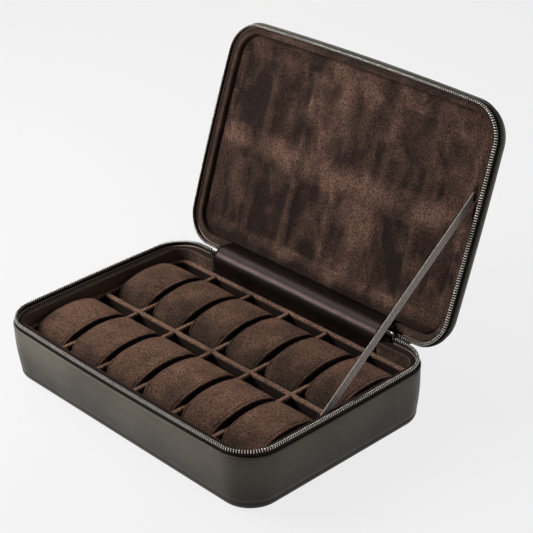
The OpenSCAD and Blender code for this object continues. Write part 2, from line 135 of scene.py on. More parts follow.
def bow(points):
    """Moves outline points out where the walls belly between their corners, most at the rim."""
    p = np.array(points, float)
    rise = smooth_step(p[:, 2] / BOW_HEIGHT)
    u = np.clip(p[:, 0] / HALF_W, -1.02, 1.02)
    v = np.clip(p[:, 1] / HALF_D, -1.02, 1.02)
    front = np.where(v < 0, np.abs(v) ** BOW_POWER, 0) * np.clip(1 - u**2, 0, 1)
    side = np.abs(u) ** BOW_POWER * np.clip(1 - v**2, 0, 1)
    slack = np.where(u < 0, LID_SLACK, 0) * smooth_step((p[:, 2] - ZIP_Z) / 0.002)
    p[:, 1] -= BOW_FRONT * front * rise
    p[:, 0] += (BOW_SIDE * rise + slack) * side * np.sign(u)
    return p


def opened(points, angle=OPEN):
    """Turns points of the closed lid about the hinge line to where the open lid has them."""
    p = np.array(points, float)
    y, z = p[..., 1] - HINGE_Y, p[..., 2] - HINGE_Z
    c, s = cos(angle), sin(angle)
    p[..., 1] = HINGE_Y + y * c + z * s
    p[..., 2] = HINGE_Z - y * s + z * c
    return p


def closed(points):
    return opened(points, -OPEN)


def lid_place(points):
    return opened(bow(points))


# ---- Mesh helpers ----
def make_piece(name, points, faces, material, solid=True):
    """A new object; a solid one is smooth, with its faces turned outwards."""
    mesh = bpy.data.meshes.new(name)
    mesh.from_pydata(np.asarray(points, float).tolist(), [], [list(map(int, f)) for f in faces])
    mesh.validate()
    mesh.polygons.foreach_set("use_smooth", [solid] * len(mesh.polygons))
    mesh.materials.append(material)
    mesh.update()
    if solid:
        bm = bmesh.new()
        bm.from_mesh(mesh)
        bmesh.ops.recalc_face_normals(bm, faces=bm.faces)
        bm.to_mesh(mesh)
        bm.free()
    piece = bpy.data.objects.new(name, mesh)
    bpy.context.scene.collection.objects.link(piece)
    return piece


def points_of(piece):
    return np.array([v.co[:] for v in piece.data.vertices])


def set_points(piece, points):
    piece.data.vertices.foreach_set("co", points.astype(np.float32).ravel())


def set_strip(piece, values):
    """Stores where each point lies along and across a strip, for weaves and seams."""
    attribute = piece.data.attributes.new("strip", "FLOAT_VECTOR", "POINT")
    attribute.data.foreach_set("vector", np.asarray(values, np.float32).ravel())


def set_value(piece, name, values):
    attribute = piece.data.attributes.new(name, "FLOAT", "POINT")
    attribute.data.foreach_set("value", np.asarray(values, np.float32).ravel())


def stands_for(piece, node, body=None):
    """The piece takes a CAD node's place, which is hidden, and joins its body if one is given."""
    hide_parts(node)
    if body:
        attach(piece, body)


def quads(rows, count, loop_path=True, loop_profile=False):
    """Faces between neighbouring rows of points, and round each row where it is closed."""
    faces = []
    for i in range(rows if loop_profile else rows - 1):
        a, b = i * count, (i + 1) % rows * count
        for j in range(count if loop_path else count - 1):
            k = (j + 1) % count
            faces.append((a + j, a + k, b + k, b + j))
    return faces


def lofted(rows, count):
    """Faces of a solid through rows of points, with both ends closed."""
    return quads(rows, count) + [range(count), [(rows - 1) * count + j for j in reversed(range(count))]]


def rounded_path(hx, hy, r, gap=0.0, step=0.004):
    """Points round a rectangle with round corners, anticlockwise from the middle of the hinge side."""
    cx, cy = hx - r, hy - r
    rear_n = max(1, round((HALF_W - CORNER_R - gap) / step))
    side_n, front_n = round(2 * (HALF_D - CORNER_R) / step), round(2 * (HALF_W - CORNER_R) / step)

    def line(a, b, n):
        return [between(np.array(a), np.array(b), i / n) for i in range(n)]

    def arc(x, y, start):
        return [(x + r * cos(a), y + r * sin(a)) for a in np.radians(start + np.arange(0, 90, 7.5))]

    path = line((-gap, hy), (-cx, hy), rear_n) + arc(-cx, cy, 90)
    path += line((-hx, cy), (-hx, -cy), side_n) + arc(-cx, -cy, 180)
    path += line((-cx, -hy), (cx, -hy), front_n) + arc(cx, -cy, 270)
    path += line((hx, -cy), (hx, cy), side_n) + arc(cx, cy, 0)
    path += line((cx, hy), (gap, hy), rear_n) + [(gap, hy)] * (gap > 0)
    return np.array(path)


def outline(off=0.0, radius=None, **how):
    """Points round the case at an offset from the zip line."""
    return rounded_path(HALF_W + off, HALF_D + off, CORNER_R + off if radius is None else radius, **how)


def level(flat, z):
    return np.column_stack([flat, np.full(len(flat), z)])


def ring(z, off=0.0, **how):
    """One level line of points round the case."""
    return level(outline(off, **how), z)


def run_length(line):
    """How far along a line of points each one lies."""
    return np.concatenate([[0], np.cumsum(np.linalg.norm(np.diff(line, axis=0), axis=1))])


def skin(name, rings, material, loop_path=False, loop_profile=True, place=None):
    """A closed surface through rings of points that all run the same way round."""
    rows, count = len(rings), len(rings[0])
    along, across, strip = run_length(rings[0]), 0.0, []
    for i in range(rows):
        if i:
            across += np.median(np.linalg.norm(rings[i] - rings[i - 1], axis=1))
        strip.append(np.column_stack([along, np.full(count, across), np.zeros(count)]))
    faces = quads(rows, count, loop_path, loop_profile)
    if not loop_path:
        faces += [[i * count for i in range(rows)], [i * count + count - 1 for i in reversed(range(rows))]]
    if not loop_profile:
        faces += [range(count), range((rows - 1) * count, rows * count)]
    points = np.concatenate(rings)
    piece = make_piece(name, place(points) if place else points, faces, material)
    set_strip(piece, np.concatenate(strip))
    return piece


def band(name, profile, material, place, gap=0.0, **how):
    """Sweeps a closed profile of (offset, height) points round the zip line."""
    return skin(name, [ring(z, off, gap=gap, **how) for off, z in profile], material, gap == 0, place=place)


def merge(name, parts, material, place=None):
    """Joins (points, faces) parts into one piece."""
    faces, start = [], 0
    for part_points, part_faces in parts:
        faces += [[start + i for i in f] for f in part_faces]
        start += len(part_points)
    points = np.concatenate([part[0] for part in parts])
    return make_piece(name, place(points) if place else points, faces, material)


def rounded_polygon(corners, n):
    """A closed polygon of (a, b, size) corners, each eased over its size into a small curve."""
    made = []
    for i, (a, b, size) in enumerate(corners):
        here = np.array([a, b])
        if size <= 0:
            made.append(here)
            continue
        p0 = here + unit(np.array(corners[i - 1][:2]) - here) * size
        p2 = here + unit(np.array(corners[(i + 1) % len(corners)][:2]) - here) * size
        for t in np.linspace(0, 1, n + 1):
            made.append((1 - t) ** 2 * p0 + 2 * t * (1 - t) * here + t**2 * p2)
    return np.array(made)


def eased_box(low, high, sizes, n=5):
    """A rectangle's outline with rounded corners, from its low corner round by way of (low a, high b)."""
    (a0, b0), (a1, b1) = low, high
    corners = (a0, b0), (a0, b1), (a1, b1), (a1, b0)
    return rounded_polygon([(*corner, size) for corner, size in zip(corners, sizes)], n)


def prism(profile, axis, a, b, n):
    """Points and faces of a closed profile run along x or y from a to b."""
    points = np.array([(t, u, v) for t in np.linspace(a, b, n + 1) for u, v in profile])
    if axis == "y":
        points = points[:, [1, 0, 2]]
    return points, lofted(n + 1, len(profile))


def slab(layers):
    """Points and faces of a solid through (y, outline in x and z) layers."""
    points = [np.column_stack([flat[:, 0], np.full(len(flat), y), flat[:, 1]]) for y, flat in layers]
    return np.concatenate(points), lofted(len(layers), len(points[0]))


def bevelled_block(low, high, size):
    """Points and faces of a block whose edges are rounded."""
    bm = bmesh.new()
    bmesh.ops.create_cube(bm, size=1.0)
    for v in bm.verts:
        v.co = Vector([between(low[k], high[k], v.co[k] + 0.5) for k in range(3)])
    bmesh.ops.bevel(bm, geom=bm.edges[:] + bm.verts[:], offset=size, segments=3, profile=0.5, affect="EDGES")
    bm.verts.index_update()
    points = np.array([v.co[:] for v in bm.verts])
    faces = [[v.index for v in f.verts] for f in bm.faces]
    bm.free()
    return points, faces


def middle_and_half(node):
    """A CAD node's middle and half sizes."""
    low, high = (np.array(corner[:]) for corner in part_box(node))
    return (low + high) / 2, (high - low) / 2


def smooth_noise(points, size, seed):
    """A gentle repeatable noise from -1 to 1 whose features have the given size."""
    shift = Vector((seed * 7.31, seed * 3.17, seed * 5.53))
    out = np.zeros(len(points))
    for i, p in enumerate(points):
        q = Vector(p) / size + shift
        for share in (1.0, 0.5):
            out[i] += share * noise.noise(q)
            q = q * 2.1
    return out


# ---- Materials ----
def add_node(tree, kind, inputs=None, **settings):
    made = tree.nodes.new(kind)
    for key, value in settings.items():
        setattr(made, key, value)
    for key, value in (inputs or {}).items():
        if isinstance(value, bpy.types.NodeSocket):
            tree.links.new(value, made.inputs[key])
        else:
            made.inputs[key].default_value = value
    return made


class Shader:
    """A Principled material whose nodes are added one by one."""

    def __init__(self, name, **constants):
        self.material = bpy.data.materials.new(name)
        self.material.use_nodes = True
        self.tree = self.material.node_tree
        self.bsdf = self.tree.nodes["Principled BSDF"]
        for socket, value in constants.items():
            self.bsdf.inputs[socket.replace("_", " ")].default_value = value
        self.place = self.node("TexCoord").outputs["Object"]

    def node(self, kind, inputs=None, **settings):
        return add_node(self.tree, "ShaderNode" + kind, inputs, **settings)

    def noise(self, scale, detail=3.0, roughness=0.5, distortion=0.0, vector=None):
        return self.node("TexNoise", {
            "Vector": vector or self.place, "Scale": scale, "Detail": detail,
            "Roughness": roughness, "Distortion": distortion}).outputs["Fac"]

    def grain(self, pebble_scale, fine):
        """Leather grain: rounded pebbles with a finer noise over them."""
        pebble = self.node("TexVoronoi", {"Vector": self.place, "Scale": pebble_scale},
                           feature="SMOOTH_F1").outputs["Distance"]
        return pebble, self.plus(self.times(pebble, -1.0), self.times(fine, 0.5))

    def stretch(self, x, y, z):
        return self.node("Mapping", {"Vector": self.place, "Scale": (x, y, z)}).outputs["Vector"]

    def value(self, name):
        return self.node("Attribute", attribute_name=name).outputs["Fac"]

    def strip(self):
        """How far along and across its strip a point lies."""
        vector = self.node("Attribute", attribute_name="strip").outputs["Vector"]
        return self.node("SeparateXYZ", {"Vector": vector}).outputs[:2]

    def math(self, operation, a, b=0.0):
        return self.node("Math", {0: a, 1: b}, operation=operation).outputs[0]

    def times(self, a, b):
        return self.math("MULTIPLY", a, b)

    def plus(self, a, b):
        return self.math("ADD", a, b)

    def wave(self, place, spacing):
        return self.math("SINE", self.times(place, 2 * pi / spacing))

    def range(self, factor, low, high, to_low=0.0, to_high=1.0):
        return self.node("MapRange", {
            "Value": factor, "From Min": low, "From Max": high,
            "To Min": to_low, "To Max": to_high}, interpolation_type="SMOOTHSTEP").outputs[0]

    def color(self, factor, a, b, blend="MIX"):
        """Mixes two colours, given as sockets or as red, green and blue from 0 to 255."""
        a, b = (srgb(*c) if isinstance(c, tuple) and len(c) == 3 else c for c in (a, b))
        return self.node("Mix", {0: factor, 6: a, 7: b}, data_type="RGBA", blend_type=blend).outputs[2]

    def bump(self, height, distance, strength, normal=None):
        made = self.node("Bump", {"Height": height, "Distance": distance, "Strength": strength})
        if normal:
            self.tree.links.new(normal, made.inputs["Normal"])
        return made.outputs["Normal"]

    def finish(self, color, roughness, low, high, normal):
        """Sets colour, normal, and roughness from low to high along a noise."""
        roughness = self.range(roughness, 0.2, 0.8, low, high)
        for socket, value in (("Base Color", color), ("Roughness", roughness), ("Normal", normal)):
            self.tree.links.new(value, self.bsdf.inputs[socket])
        return self.material


def srgb(*channels):
    """A colour from 0 to 255 as the shader's linear one."""
    shares = (c / 255 for c in channels)
    return (*(c / 12.92 if c <= 0.04045 else ((c + 0.055) / 1.055) ** 2.4 for c in shares), 1.0)


def outer_leather():
    s = Shader("outer_leather", Specular_IOR_Level=0.13)
    tone = s.color(s.range(s.noise(14, 3, 0.55), 0.3, 0.7), (68, 64, 56), (84, 79, 70))
    # painted light and shade: the wall lighter towards its rim and darker towards its foot
    tone = s.color(1.0, tone, s.range(s.value("rise"), -1, 1, 0.62, 1.46), "MULTIPLY")
    pebble, grain = s.grain(1500, s.noise(2600, 4, 0.6))
    tone = s.color(s.range(pebble, 0.25, 0.75, 0, 0.3), tone, (48, 44, 39))
    normal = s.bump(s.noise(60, 3, 0.5), 0.0005, 0.18, s.bump(grain, 0.0001, 0.4))
    return s.finish(tone, s.noise(90, 3, 0.6), 0.36, 0.46, normal)


def hinge_leather():
    s = Shader("hinge_leather", Specular_IOR_Level=0.19, Specular_Tint=srgb(255, 214, 204))
    tone = s.color(s.range(s.noise(22, 3, 0.5), 0.3, 0.7), (11, 7, 6), (18, 12, 10))
    _, grain = s.grain(1300, s.noise(2400))
    pulled = s.noise(26, 2, 0.5, 0.2, s.stretch(0.3, 1, 1))
    normal = s.bump(pulled, 0.0012, 0.12, s.bump(grain, 0.00008, 0.3))
    return s.finish(tone, s.noise(60), 0.32, 0.40, normal)


SUEDE_PAINTED_SHADE = (17, 12, 11)  # painted shade for the suede's sides, the walls between the cells and the lining's flat top
SPECKS = (0.38, 0.38, 0.38, 1), (1.64, 1.61, 1.58, 1)


def suede(name, deep, mid, light, nap=0.0, marks=()):
    """Brushed suede: lighter and darker where the nap lies one way or the other. The share argument after the
    colours is the share that the piece's own values, its nap and painted shade, have in that, and marks are
    the values for the painted shade on its sides and for its paler edges and walls, partly wear and partly
    painted light."""
    s = Shader(name, Specular_IOR_Level=0.1, Sheen_Weight=0.1, Sheen_Roughness=0.5,
               Sheen_Tint=srgb(190, 150, 128))
    patches = s.noise(34, 4, 0.6, 0.9)
    if nap:
        patches = s.plus(s.times(patches, 1 - nap), s.times(s.value("nap"), nap))
    grain, fibre = s.noise(680, 2, 0.8, 0.2), s.noise(2300, 2, 0.6)
    tone = s.color(s.range(patches, 0.15, 0.58), deep, mid)
    tone = s.color(s.range(patches, 0.46, 0.95), tone, light)
    tone = s.color(1.0, tone, s.color(s.range(grain, 0.37, 0.63), *SPECKS), "MULTIPLY")
    tone = s.color(s.range(fibre, 0.35, 0.75, 0.0, 0.2), tone, deep)
    for mark in marks:
        # painted shade on the sides; painted light, partly wear, on the edges and walls
        tone = s.color(s.value(mark), tone, SUEDE_PAINTED_SHADE if mark == "side" else light)
    normal = s.bump(s.plus(s.times(fibre, 0.4), grain), 0.0007, 0.9)
    return s.finish(tone, grain, 0.9, 1.0, s.bump(patches, 0.0012, 0.2, normal))


def zip_tape():
    s = Shader("zip_tape", Specular_IOR_Level=0.2)
    along, across = s.strip()
    weave = s.plus(s.wave(along, 0.00075), s.times(s.wave(across, 0.0006), 0.5))
    tone = s.color(s.range(weave, -1.5, 1.5), (26, 23, 20), (58, 50, 44))
    return s.finish(tone, s.noise(900), 0.75, 0.95, s.bump(weave, 0.00012, 0.8))


def zip_metal():
    s = Shader("zip_metal", Metallic=0.8)
    tone = s.color(s.range(s.noise(420, 4, 0.6), 0.3, 0.75), (250, 245, 236), (206, 198, 188))
    # painted shade between the teeth, on the slider's inner plate and over the end stops
    tone = s.color(s.range(s.value("gap"), 0.0, 0.8), tone, (26, 21, 18))
    scuffs = s.noise(3000, 3, 0.6, 0.2, s.stretch(1, 1, 0.2))
    return s.finish(tone, scuffs, 0.28, 0.44, s.bump(scuffs, 0.00003, 0.5))


def edge_binding():
    s = Shader("edge_binding", Specular_IOR_Level=0.3, Sheen_Weight=0.2)
    stitch = s.wave(s.strip()[0], 0.0026)
    fine = s.noise(1800, 3, 0.6)
    tone = s.color(s.range(fine, 0.3, 0.7), (84, 66, 58), (116, 94, 84))
    tone = s.color(s.range(stitch, 0.55, 0.95, 0, 0.4), tone, (50, 36, 31))
    # painted light: the binding paler towards the left side
    tone = s.color(s.range(s.value("worn"), 0.0, 1.0, 0.0, 0.75), tone, (196, 170, 154))
    height = s.plus(s.times(stitch, -0.6), fine)
    return s.finish(tone, fine, 0.6, 0.8, s.bump(height, 0.00018, 0.7))


def stay_webbing():
    s = Shader("stay_webbing", Specular_IOR_Level=0.3, Sheen_Weight=0.25)
    along, across = s.strip()
    warp, weft = s.wave(across, 0.00062), s.wave(along, 0.0011)
    weave = s.plus(s.times(warp, weft), s.times(warp, 0.8))
    worn = s.noise(420, 3, 0.6)
    tone = s.color(s.range(weave, -1.2, 1.2), (104, 93, 88), (206, 194, 186))
    tone = s.color(s.range(s.value("selvedge"), 0.3, 0.8, 0, 0.7), tone, (216, 206, 198))
    tone = s.color(s.range(worn, 0.45, 0.7, 0, 0.55), tone, (92, 82, 78))
    return s.finish(tone, worn, 0.6, 0.85, s.bump(weave, 0.00014, 0.9))


def thread(name, dark, light):
    s = Shader(name, Specular_IOR_Level=0.3, Sheen_Weight=0.15)
    ply = s.noise(2600, 2, 0.5, 0.3, s.stretch(1, 1, 2))
    tone = s.color(s.range(ply, 0.3, 0.7), dark, light)
    return s.finish(tone, ply, 0.55, 0.75, s.bump(ply, 0.00008, 0.8))


def board_card():
    s = Shader("board_card")
    flecks = s.noise(700, 4, 0.65)
    tone = s.color(s.range(flecks, 0.3, 0.7), (120, 102, 80), (150, 132, 106))
    return s.finish(tone, flecks, 0.8, 0.95, s.bump(flecks, 0.0001, 0.5))


LEATHER = outer_leather()
HINGE_HIDE = hinge_leather()
LINING = suede("suede_lining", (40, 30, 26), (58, 45, 39), (112, 90, 79), 0.0, ("side", "edge"))
TRAY_HIDE = suede("suede_tray", (74, 56, 46), (110, 85, 71), (130, 102, 87), 0.0, ("side",))
CUSHION_HIDE = suede("suede_cushion", (47, 36, 29), (88, 65, 53), (120, 90, 75), 0.6, ("side",))
PAD_HIDE = suede("suede_pad", (34, 25, 22), (66, 49, 42), (100, 76, 65), 0.75)
TAPE = zip_tape()
METAL = zip_metal()
BINDING = edge_binding()
WEBBING = stay_webbing()
SEAM = thread("seam_thread", (104, 80, 68), (168, 138, 120))
OUTER_THREAD = thread("outer_thread", (60, 40, 34), (104, 78, 68))
CARD = board_card()


# ---- Stitches ----
def stitches(name, line, material, body, lift=(0, 0, 1.0), pitch=0.0026, length=0.0019,
             width=0.0005, place=None):
    """A row of small thread stitches along a line of points. lift is the way that they stand out, or
    gives it for a point."""
    line = np.asarray(line, float)
    along = run_length(line)
    sides, rounds, reach = 6, (-1.0, -0.75, 0.0, 0.75, 1.0), 0.001
    turn = [2 * pi * k / sides for k in range(sides)]
    parts = []
    for i in range(int(along[-1] // pitch)):
        s = (i + 0.5) * pitch
        behind, centre, ahead = (np.array([np.interp(t, along, line[:, k]) for k in range(3)])
                                 for t in (s - reach, s, s + reach))
        run = unit(ahead - behind)
        side = unit(np.cross(lift(centre) if callable(lift) else lift, run))
        out = np.cross(run, side)
        points = []
        for t in rounds:
            slim = width / 2 * sqrt(1 - 0.85 * t * t)
            middle = centre + run * t * length / 2 - out * 0.35 * width * t * t
            points += [middle + (side * cos(a) + out * sin(a)) * slim for a in turn]
        parts.append((np.array(points), lofted(len(rounds), sides)))
    piece = merge(name, parts, material, place)
    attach(piece, body)


def away_from_middle(point):
    """The level direction out of the case's wall at a point near its outline."""
    reach = np.array([HALF_W - CORNER_R, HALF_D - CORNER_R, point[2]])
    return unit(point - np.clip(point, -reach, reach))


# ---- Base: leather shell ----
FOOT_X = WRAP_OUT - BASE_DRAFT - FOOT_R
SHELF_Z = EDGE_Z - TAPE_SEWN - 0.0001
STITCH_DROP = 0.0021  # stitches below the leather edge
WALL_BULGE = 0.0009  # how far the padded wall swells between its rim and its foot
# The folded leather edge with its two beads, from inside to outside: offset, and drop below the edge.
RIM = [(TAPE_OUT + 0.0001, TAPE_SEWN), (TAPE_OUT + 0.0001, 0.0008), (TAPE_OUT + 0.0003, 0.0003),
       (TAPE_OUT + 0.0008, 0.0), (WRAP_OUT - 0.0007, 0.0), (WRAP_OUT - 0.0002, 0.0002),
       (WRAP_OUT + 0.0001, 0.0006), (WRAP_OUT, 0.0010), (WRAP_OUT - 0.00045, 0.0013),
       (WRAP_OUT - 0.0001, 0.0016), (WRAP_OUT + 0.0001, 0.0021), (WRAP_OUT - 0.0001, 0.0026),
       (WRAP_OUT - 0.0004, 0.0029)]


def wall_off(z):
    """Offset of the base's leaning outer face at a height."""
    return WRAP_OUT - BASE_DRAFT * (EDGE_Z - z) / (EDGE_Z - FOOT_R)


def base_skin():
    profile = [(off, EDGE_Z - drop) for off, drop in RIM]
    for share in np.linspace(0, 1, 11):
        z = between(EDGE_Z - 0.0035, 0.0082, share)
        profile.append((wall_off(z) + WALL_BULGE * sin(pi * share), z))
    profile += [(wall_off(0.0076) - 0.0004, 0.0076), (wall_off(0.007), 0.0070)]
    for a in np.radians(np.linspace(0, -90, 8)):
        profile.append((FOOT_X + FOOT_R * cos(a), FOOT_R + FOOT_R * sin(a)))
    turned = FOOT_X - TURN_W
    profile += [(turned + 0.0004, 0), (turned, 0.0005), (turned, LEATHER_T), (FOOT_X, LEATHER_T),
                (BIND_IN, FOOT_R), (BIND_IN, SHELF_Z)]
    piece = band("base_skin", profile, LEATHER, bow)
    height = points_of(piece)[:, 2]
    # rise runs from -1 at the foot to 1 at the rim, for the painted light and shade on the wall
    set_value(piece, "rise", np.clip(2 * (height - FOOT_R) / (EDGE_Z - FOOT_R) - 1, -1, 1))
    stands_for(piece, "base_wrap", "base")
    line = bow(ring(EDGE_Z - STITCH_DROP, WRAP_OUT, step=0.002))
    stitches("base_rim_stitches", line, OUTER_THREAD, "base", away_from_middle)


def flat_panel(name, node, body, off, z_in, z_face, place=None):
    """A thin leather panel with an eased edge; z_face is its outer side."""
    steps = [(0, 0), (0, 0.7), (-0.0003, 0.93), (-0.0009, 1), (-0.006, 1)]
    rings = [ring(between(z_in, z_face, up), off + inset, step=0.008) for inset, up in steps]
    stands_for(skin(name, rings, LEATHER, True, False, place), node, body)


def base_sole():
    off = FOOT_X - TURN_W - 0.0001
    flat_panel("sole_panel", "base_sole", "base", off, LEATHER_T, 0.0)
    line = ring(0.0001, off + 0.003, step=0.002)
    stitches("sole_stitches", line, OUTER_THREAD, "base", (0, 0, -1.0), pitch=0.004, length=0.003)


# ---- Zip ----
HALF_FRONT = HALF_W - CORNER_R
SIDE_LEN = 2 * (HALF_D - CORNER_R)
ARC_LEN = CORNER_R * pi / 2
HALF_CHAIN = 2 * (HALF_FRONT + ARC_LEN) + SIDE_LEN - CHAIN_END
TAPE_MID = TAPE_OUT - TAPE_T / 2
BASE_ROOT = ZIP_Z + TOOTH_BITE - TOOTH_H  # where the base's teeth start
# Of each side of the zip: the way from its leather to the other side, its leather edge's height,
# where its teeth start, and where its points go.
SIDES = {"base": (1, EDGE_Z, BASE_ROOT, bow), "lid": (-1, LID_EDGE_Z, 2 * ZIP_Z - BASE_ROOT, lid_place)}
CORD_BULGE = 0.0006  # how far the cord stands out from the tape on each side
CORD_RISE = 0.0008  # and how far it reaches between the teeth
BIND_HALF = (BIND_OUT - BIND_IN) / 2
TOOTH_W = 0.00090
# Share of the tooth's height, of its width and of its thickness, from root to tip.
TOOTH_SHAPE = [(0.0, 0.62, 0.80), (0.06, 0.92, 0.97), (0.14, 1.0, 1.0), (0.42, 1.0, 1.0),
               (0.56, 0.92, 0.80), (0.86, 0.84, 0.66), (0.95, 0.70, 0.56), (1.0, 0.36, 0.36)]
TOOTH_CORNERS = [(-1, -0.55), (-0.6, -1), (0.6, -1), (1, -0.55), (1, 0.55), (0.6, 1), (-0.6, 1), (-1, 0.55)]
TOOTH_GAP_SIDE = [abs(a) == 1 for a, b in TOOTH_CORNERS]  # which corners face the next tooth
TOOTH_SHADE = [1, 1, 1, 1, 1, 1, 0.5, 0]  # how much painted shade they get there, by level


def chain_at(s):
    """The zip line's point and heading at a distance from the middle of the front."""
    runs = []
    for length in (HALF_FRONT, ARC_LEN, SIDE_LEN, ARC_LEN, HALF_FRONT):
        runs.append(min(s, length))
        s -= runs[-1]
    front, near, side, far, rear = runs
    a, b = near / CORNER_R, far / CORNER_R
    x = front - rear + CORNER_R * (sin(a) + cos(b) - 1)
    y = side - HALF_D + CORNER_R * (1 - cos(a) + sin(b))
    return x, y, a + b


def tooth_part(s, side, z, up):
    """One rounded tooth of the chain; up is 1 in the base row and -1 in the lid row."""
    x, y, turn = chain_at(s)
    ahead = np.array([cos(turn), sin(turn), 0.0]) * TOOTH_W / 2
    out = np.array([sin(turn), -cos(turn), 0.0])
    points = np.array([
        [x, y, z + up * height * TOOTH_H] + ahead * a * wide + out * (TAPE_MID + b * thick * TOOTH_T / 2)
        for height, wide, thick in TOOTH_SHAPE for a, b in TOOTH_CORNERS])
    points[:, 0] *= side
    return points, lofted(len(TOOTH_SHAPE), len(TOOTH_CORNERS))


def teeth(body):
    way, _, root, place = SIDES[body]
    first = 0.5 if way > 0 else 0  # the rows are half a pitch apart
    parts = []
    for side in (1, -1):
        start = first if side > 0 or first else 1  # a tooth on the middle line is made once
        for i in range(int(HALF_CHAIN / TOOTH_PITCH - start) + 1):
            parts.append(tooth_part((start + i) * TOOTH_PITCH, side, root, way))
    piece = merge(body + "_zip_teeth", parts, METAL, place)
    set_value(piece, "gap", np.tile(np.outer(TOOTH_SHADE, TOOTH_GAP_SIDE).ravel(), len(parts)))
    stands_for(piece, body + "_teeth", body)


def tape(body):
    """Woven tape with the thick cord along its edge that the teeth hold."""
    way, edge_z, root, place = SIDES[body]
    inner, cord_in, cord_out = TAPE_OUT - TAPE_T, TAPE_OUT - TAPE_T - CORD_BULGE, TAPE_OUT + CORD_BULGE
    cord = [(inner, 0.0024), (cord_in, 0.0016), (cord_in, 0.0006), (TAPE_MID, 0), (cord_out, 0.0006),
            (cord_out, 0.0016), (TAPE_OUT, 0.0024)]
    z_sewn, top = edge_z - way * TAPE_SEWN, root + way * CORD_RISE
    profile = [(inner, z_sewn)] + [(off, top - way * drop) for off, drop in cord] + [(TAPE_OUT, z_sewn)]
    gap = HINGE_HALF + 0.0001 if way > 0 else CHAIN_END - LID_TAPE_STOP
    piece = band(body + "_zip_tape", profile, TAPE, place, gap, step=0.003)
    stands_for(piece, body + "_tape", body)


def binding(body):
    way, edge_z, _, place = SIDES[body]
    z_foot, z_mid = edge_z - way * TAPE_SEWN, edge_z + way * (BIND_RISE - BIND_HALF)
    arc = [(BIND_IN + BIND_HALF * (1 + cos(a)), z_mid + way * BIND_HALF * sin(a))
           for a in np.linspace(0, pi, 7)]
    profile = [(BIND_OUT, z_foot)] + arc + [(BIND_IN, z_foot)]
    piece = band(body + "_edge_binding", profile, BINDING, place, CHAIN_END, step=0.003)
    # painted light on the binding of the left side
    set_value(piece, "worn", smooth_step((-points_of(piece)[:, 0] - 0.13) / 0.03))
    stands_for(piece, body + "_binding", body)


def end_stops(body):
    way, _, root, place = SIDES[body]
    half = np.array([0.0009, TOOTH_T / 2])
    z0, z1 = sorted((root, root + way * (TOOTH_H - 2 * TOOTH_BITE - 0.0001)))
    parts = []
    for side in (-1, 1):
        middle = np.array([side * (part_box("base_stops")[1].x - half[0]), HALF_D + TAPE_MID])
        parts.append(bevelled_block([*(middle - half), z0], [*(middle + half), z1], 0.0003))
    piece = merge(body + "_end_stops", parts, METAL, place)
    # painted shade over the end stops
    set_value(piece, "gap", np.full(len(piece.data.vertices), 0.6))
    stands_for(piece, body + "_stops", body)


# ---- Linings ----
def side_lining(body, inner, foot, turnover, steps, hollow, seed):
    """Padded suede that turns over the board's edge to the binding. turnover gives the share of the way
    from the binding to the inner face, and the height past the leather edge."""
    way, edge_z = SIDES[body][:2]
    outer, lip = (outline(off, gap=HINGE_HALF + 0.0001) for off in (LINER_OUT, BIND_IN - 0.00015))
    rings = [level(outer, foot), level(outer, edge_z + way * 0.0001)]
    rings += [level(between(lip, inner, share), edge_z + way * up) for share, up in turnover]
    low = edge_z + way * turnover[-1][1]
    for share in np.linspace(0, 1, steps + 1)[1:]:
        rings.append(level(between(inner, outer, hollow * sin(pi * share)), between(low, foot, share)))
    piece = skin(body + "_side_lining", rings, LINING)
    moved = bow(points_of(piece))
    moved += 0.00025 * smooth_noise(moved, 0.03, seed)[:, None] * np.array([1, 1, 0.3])
    set_points(piece, moved if way > 0 else opened(moved))
    stands_for(piece, body + "_liner", body)
    return piece, moved[:, 0], rings


def base_lining():
    inner = outline(LINER_IN, radius=LINER_R, gap=HINGE_HALF + 0.0001)
    turnover = [(0, 0.0001), (0, 0.0006), (0.25, 0.0009), (0.6, 0.0009), (0.84, 0.0007), (0.90, 0.0005),
                (0.97, -0.0001), (0.995, -0.0008), (1, -0.0018)]
    piece, _, rings = side_lining("base", inner, BOARD_TOP + 0.0001, turnover, 8, 0.06, 3)
    # where the painted light on the left wall and its edge fades in
    left_painted_light = smooth_step((-rings[0][:, 0] - 0.142) / 0.016)
    side, edge = np.zeros((2, len(rings), len(left_painted_light)))
    side[2:7] = 0.9  # painted shade on the flat top
    edge[7:9] = 0.15 + 0.25 * left_painted_light  # its slightly worn edge, with painted light added towards the left
    edge[9:] = 0.8 * left_painted_light  # painted light on the left wall
    set_value(piece, "side", side)
    set_value(piece, "edge", edge)


def lid_lining():
    turnover = [(0, 0.0001), (0, 0.0006), (0.3, 0.0009), (0.7, 0.0007), (0.93, 0.0001), (1, -0.0010)]
    inner = outline(LID_LINER_IN, gap=HINGE_HALF + 0.0001)
    piece, x, _ = side_lining("lid", inner, LID_PAD_TOP - 0.0001, turnover, 5, 0.10, 4)
    # painted light on the lid's left wall
    set_value(piece, "edge", 0.22 * smooth_step((-x - 0.14) / 0.018))


def back_padding(body, low, high, half, sizes, place=None):
    part = prism(eased_box(low, high, sizes), "x", -half, half, 60)
    piece = merge(body + "_back_padding", [part], HINGE_HIDE, place)
    stands_for(piece, body + "_back_panel", body)


def base_back_padding():
    low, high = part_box("base_back_panel")
    back_padding("base", low.yz, high.yz, high.x, (0.0005, 0.0016, 0.0006, 0.0005))


def lid_back_padding():
    low, high = (HALF_D + LID_LINER_IN, LID_EDGE_Z), (HALF_D + LINER_OUT, LID_PAD_TOP)
    back_padding("lid", low, high, HINGE_HALF, (0.0012, 0.0004, 0.0004, 0.0005), opened)


# ---- Tray ----
TRAY_EASE = 0.0013  # rounding along the tops of its walls
SHADE_DROP = 0.0030  # the walls between the cells are fully painted with shade by this depth below their tops
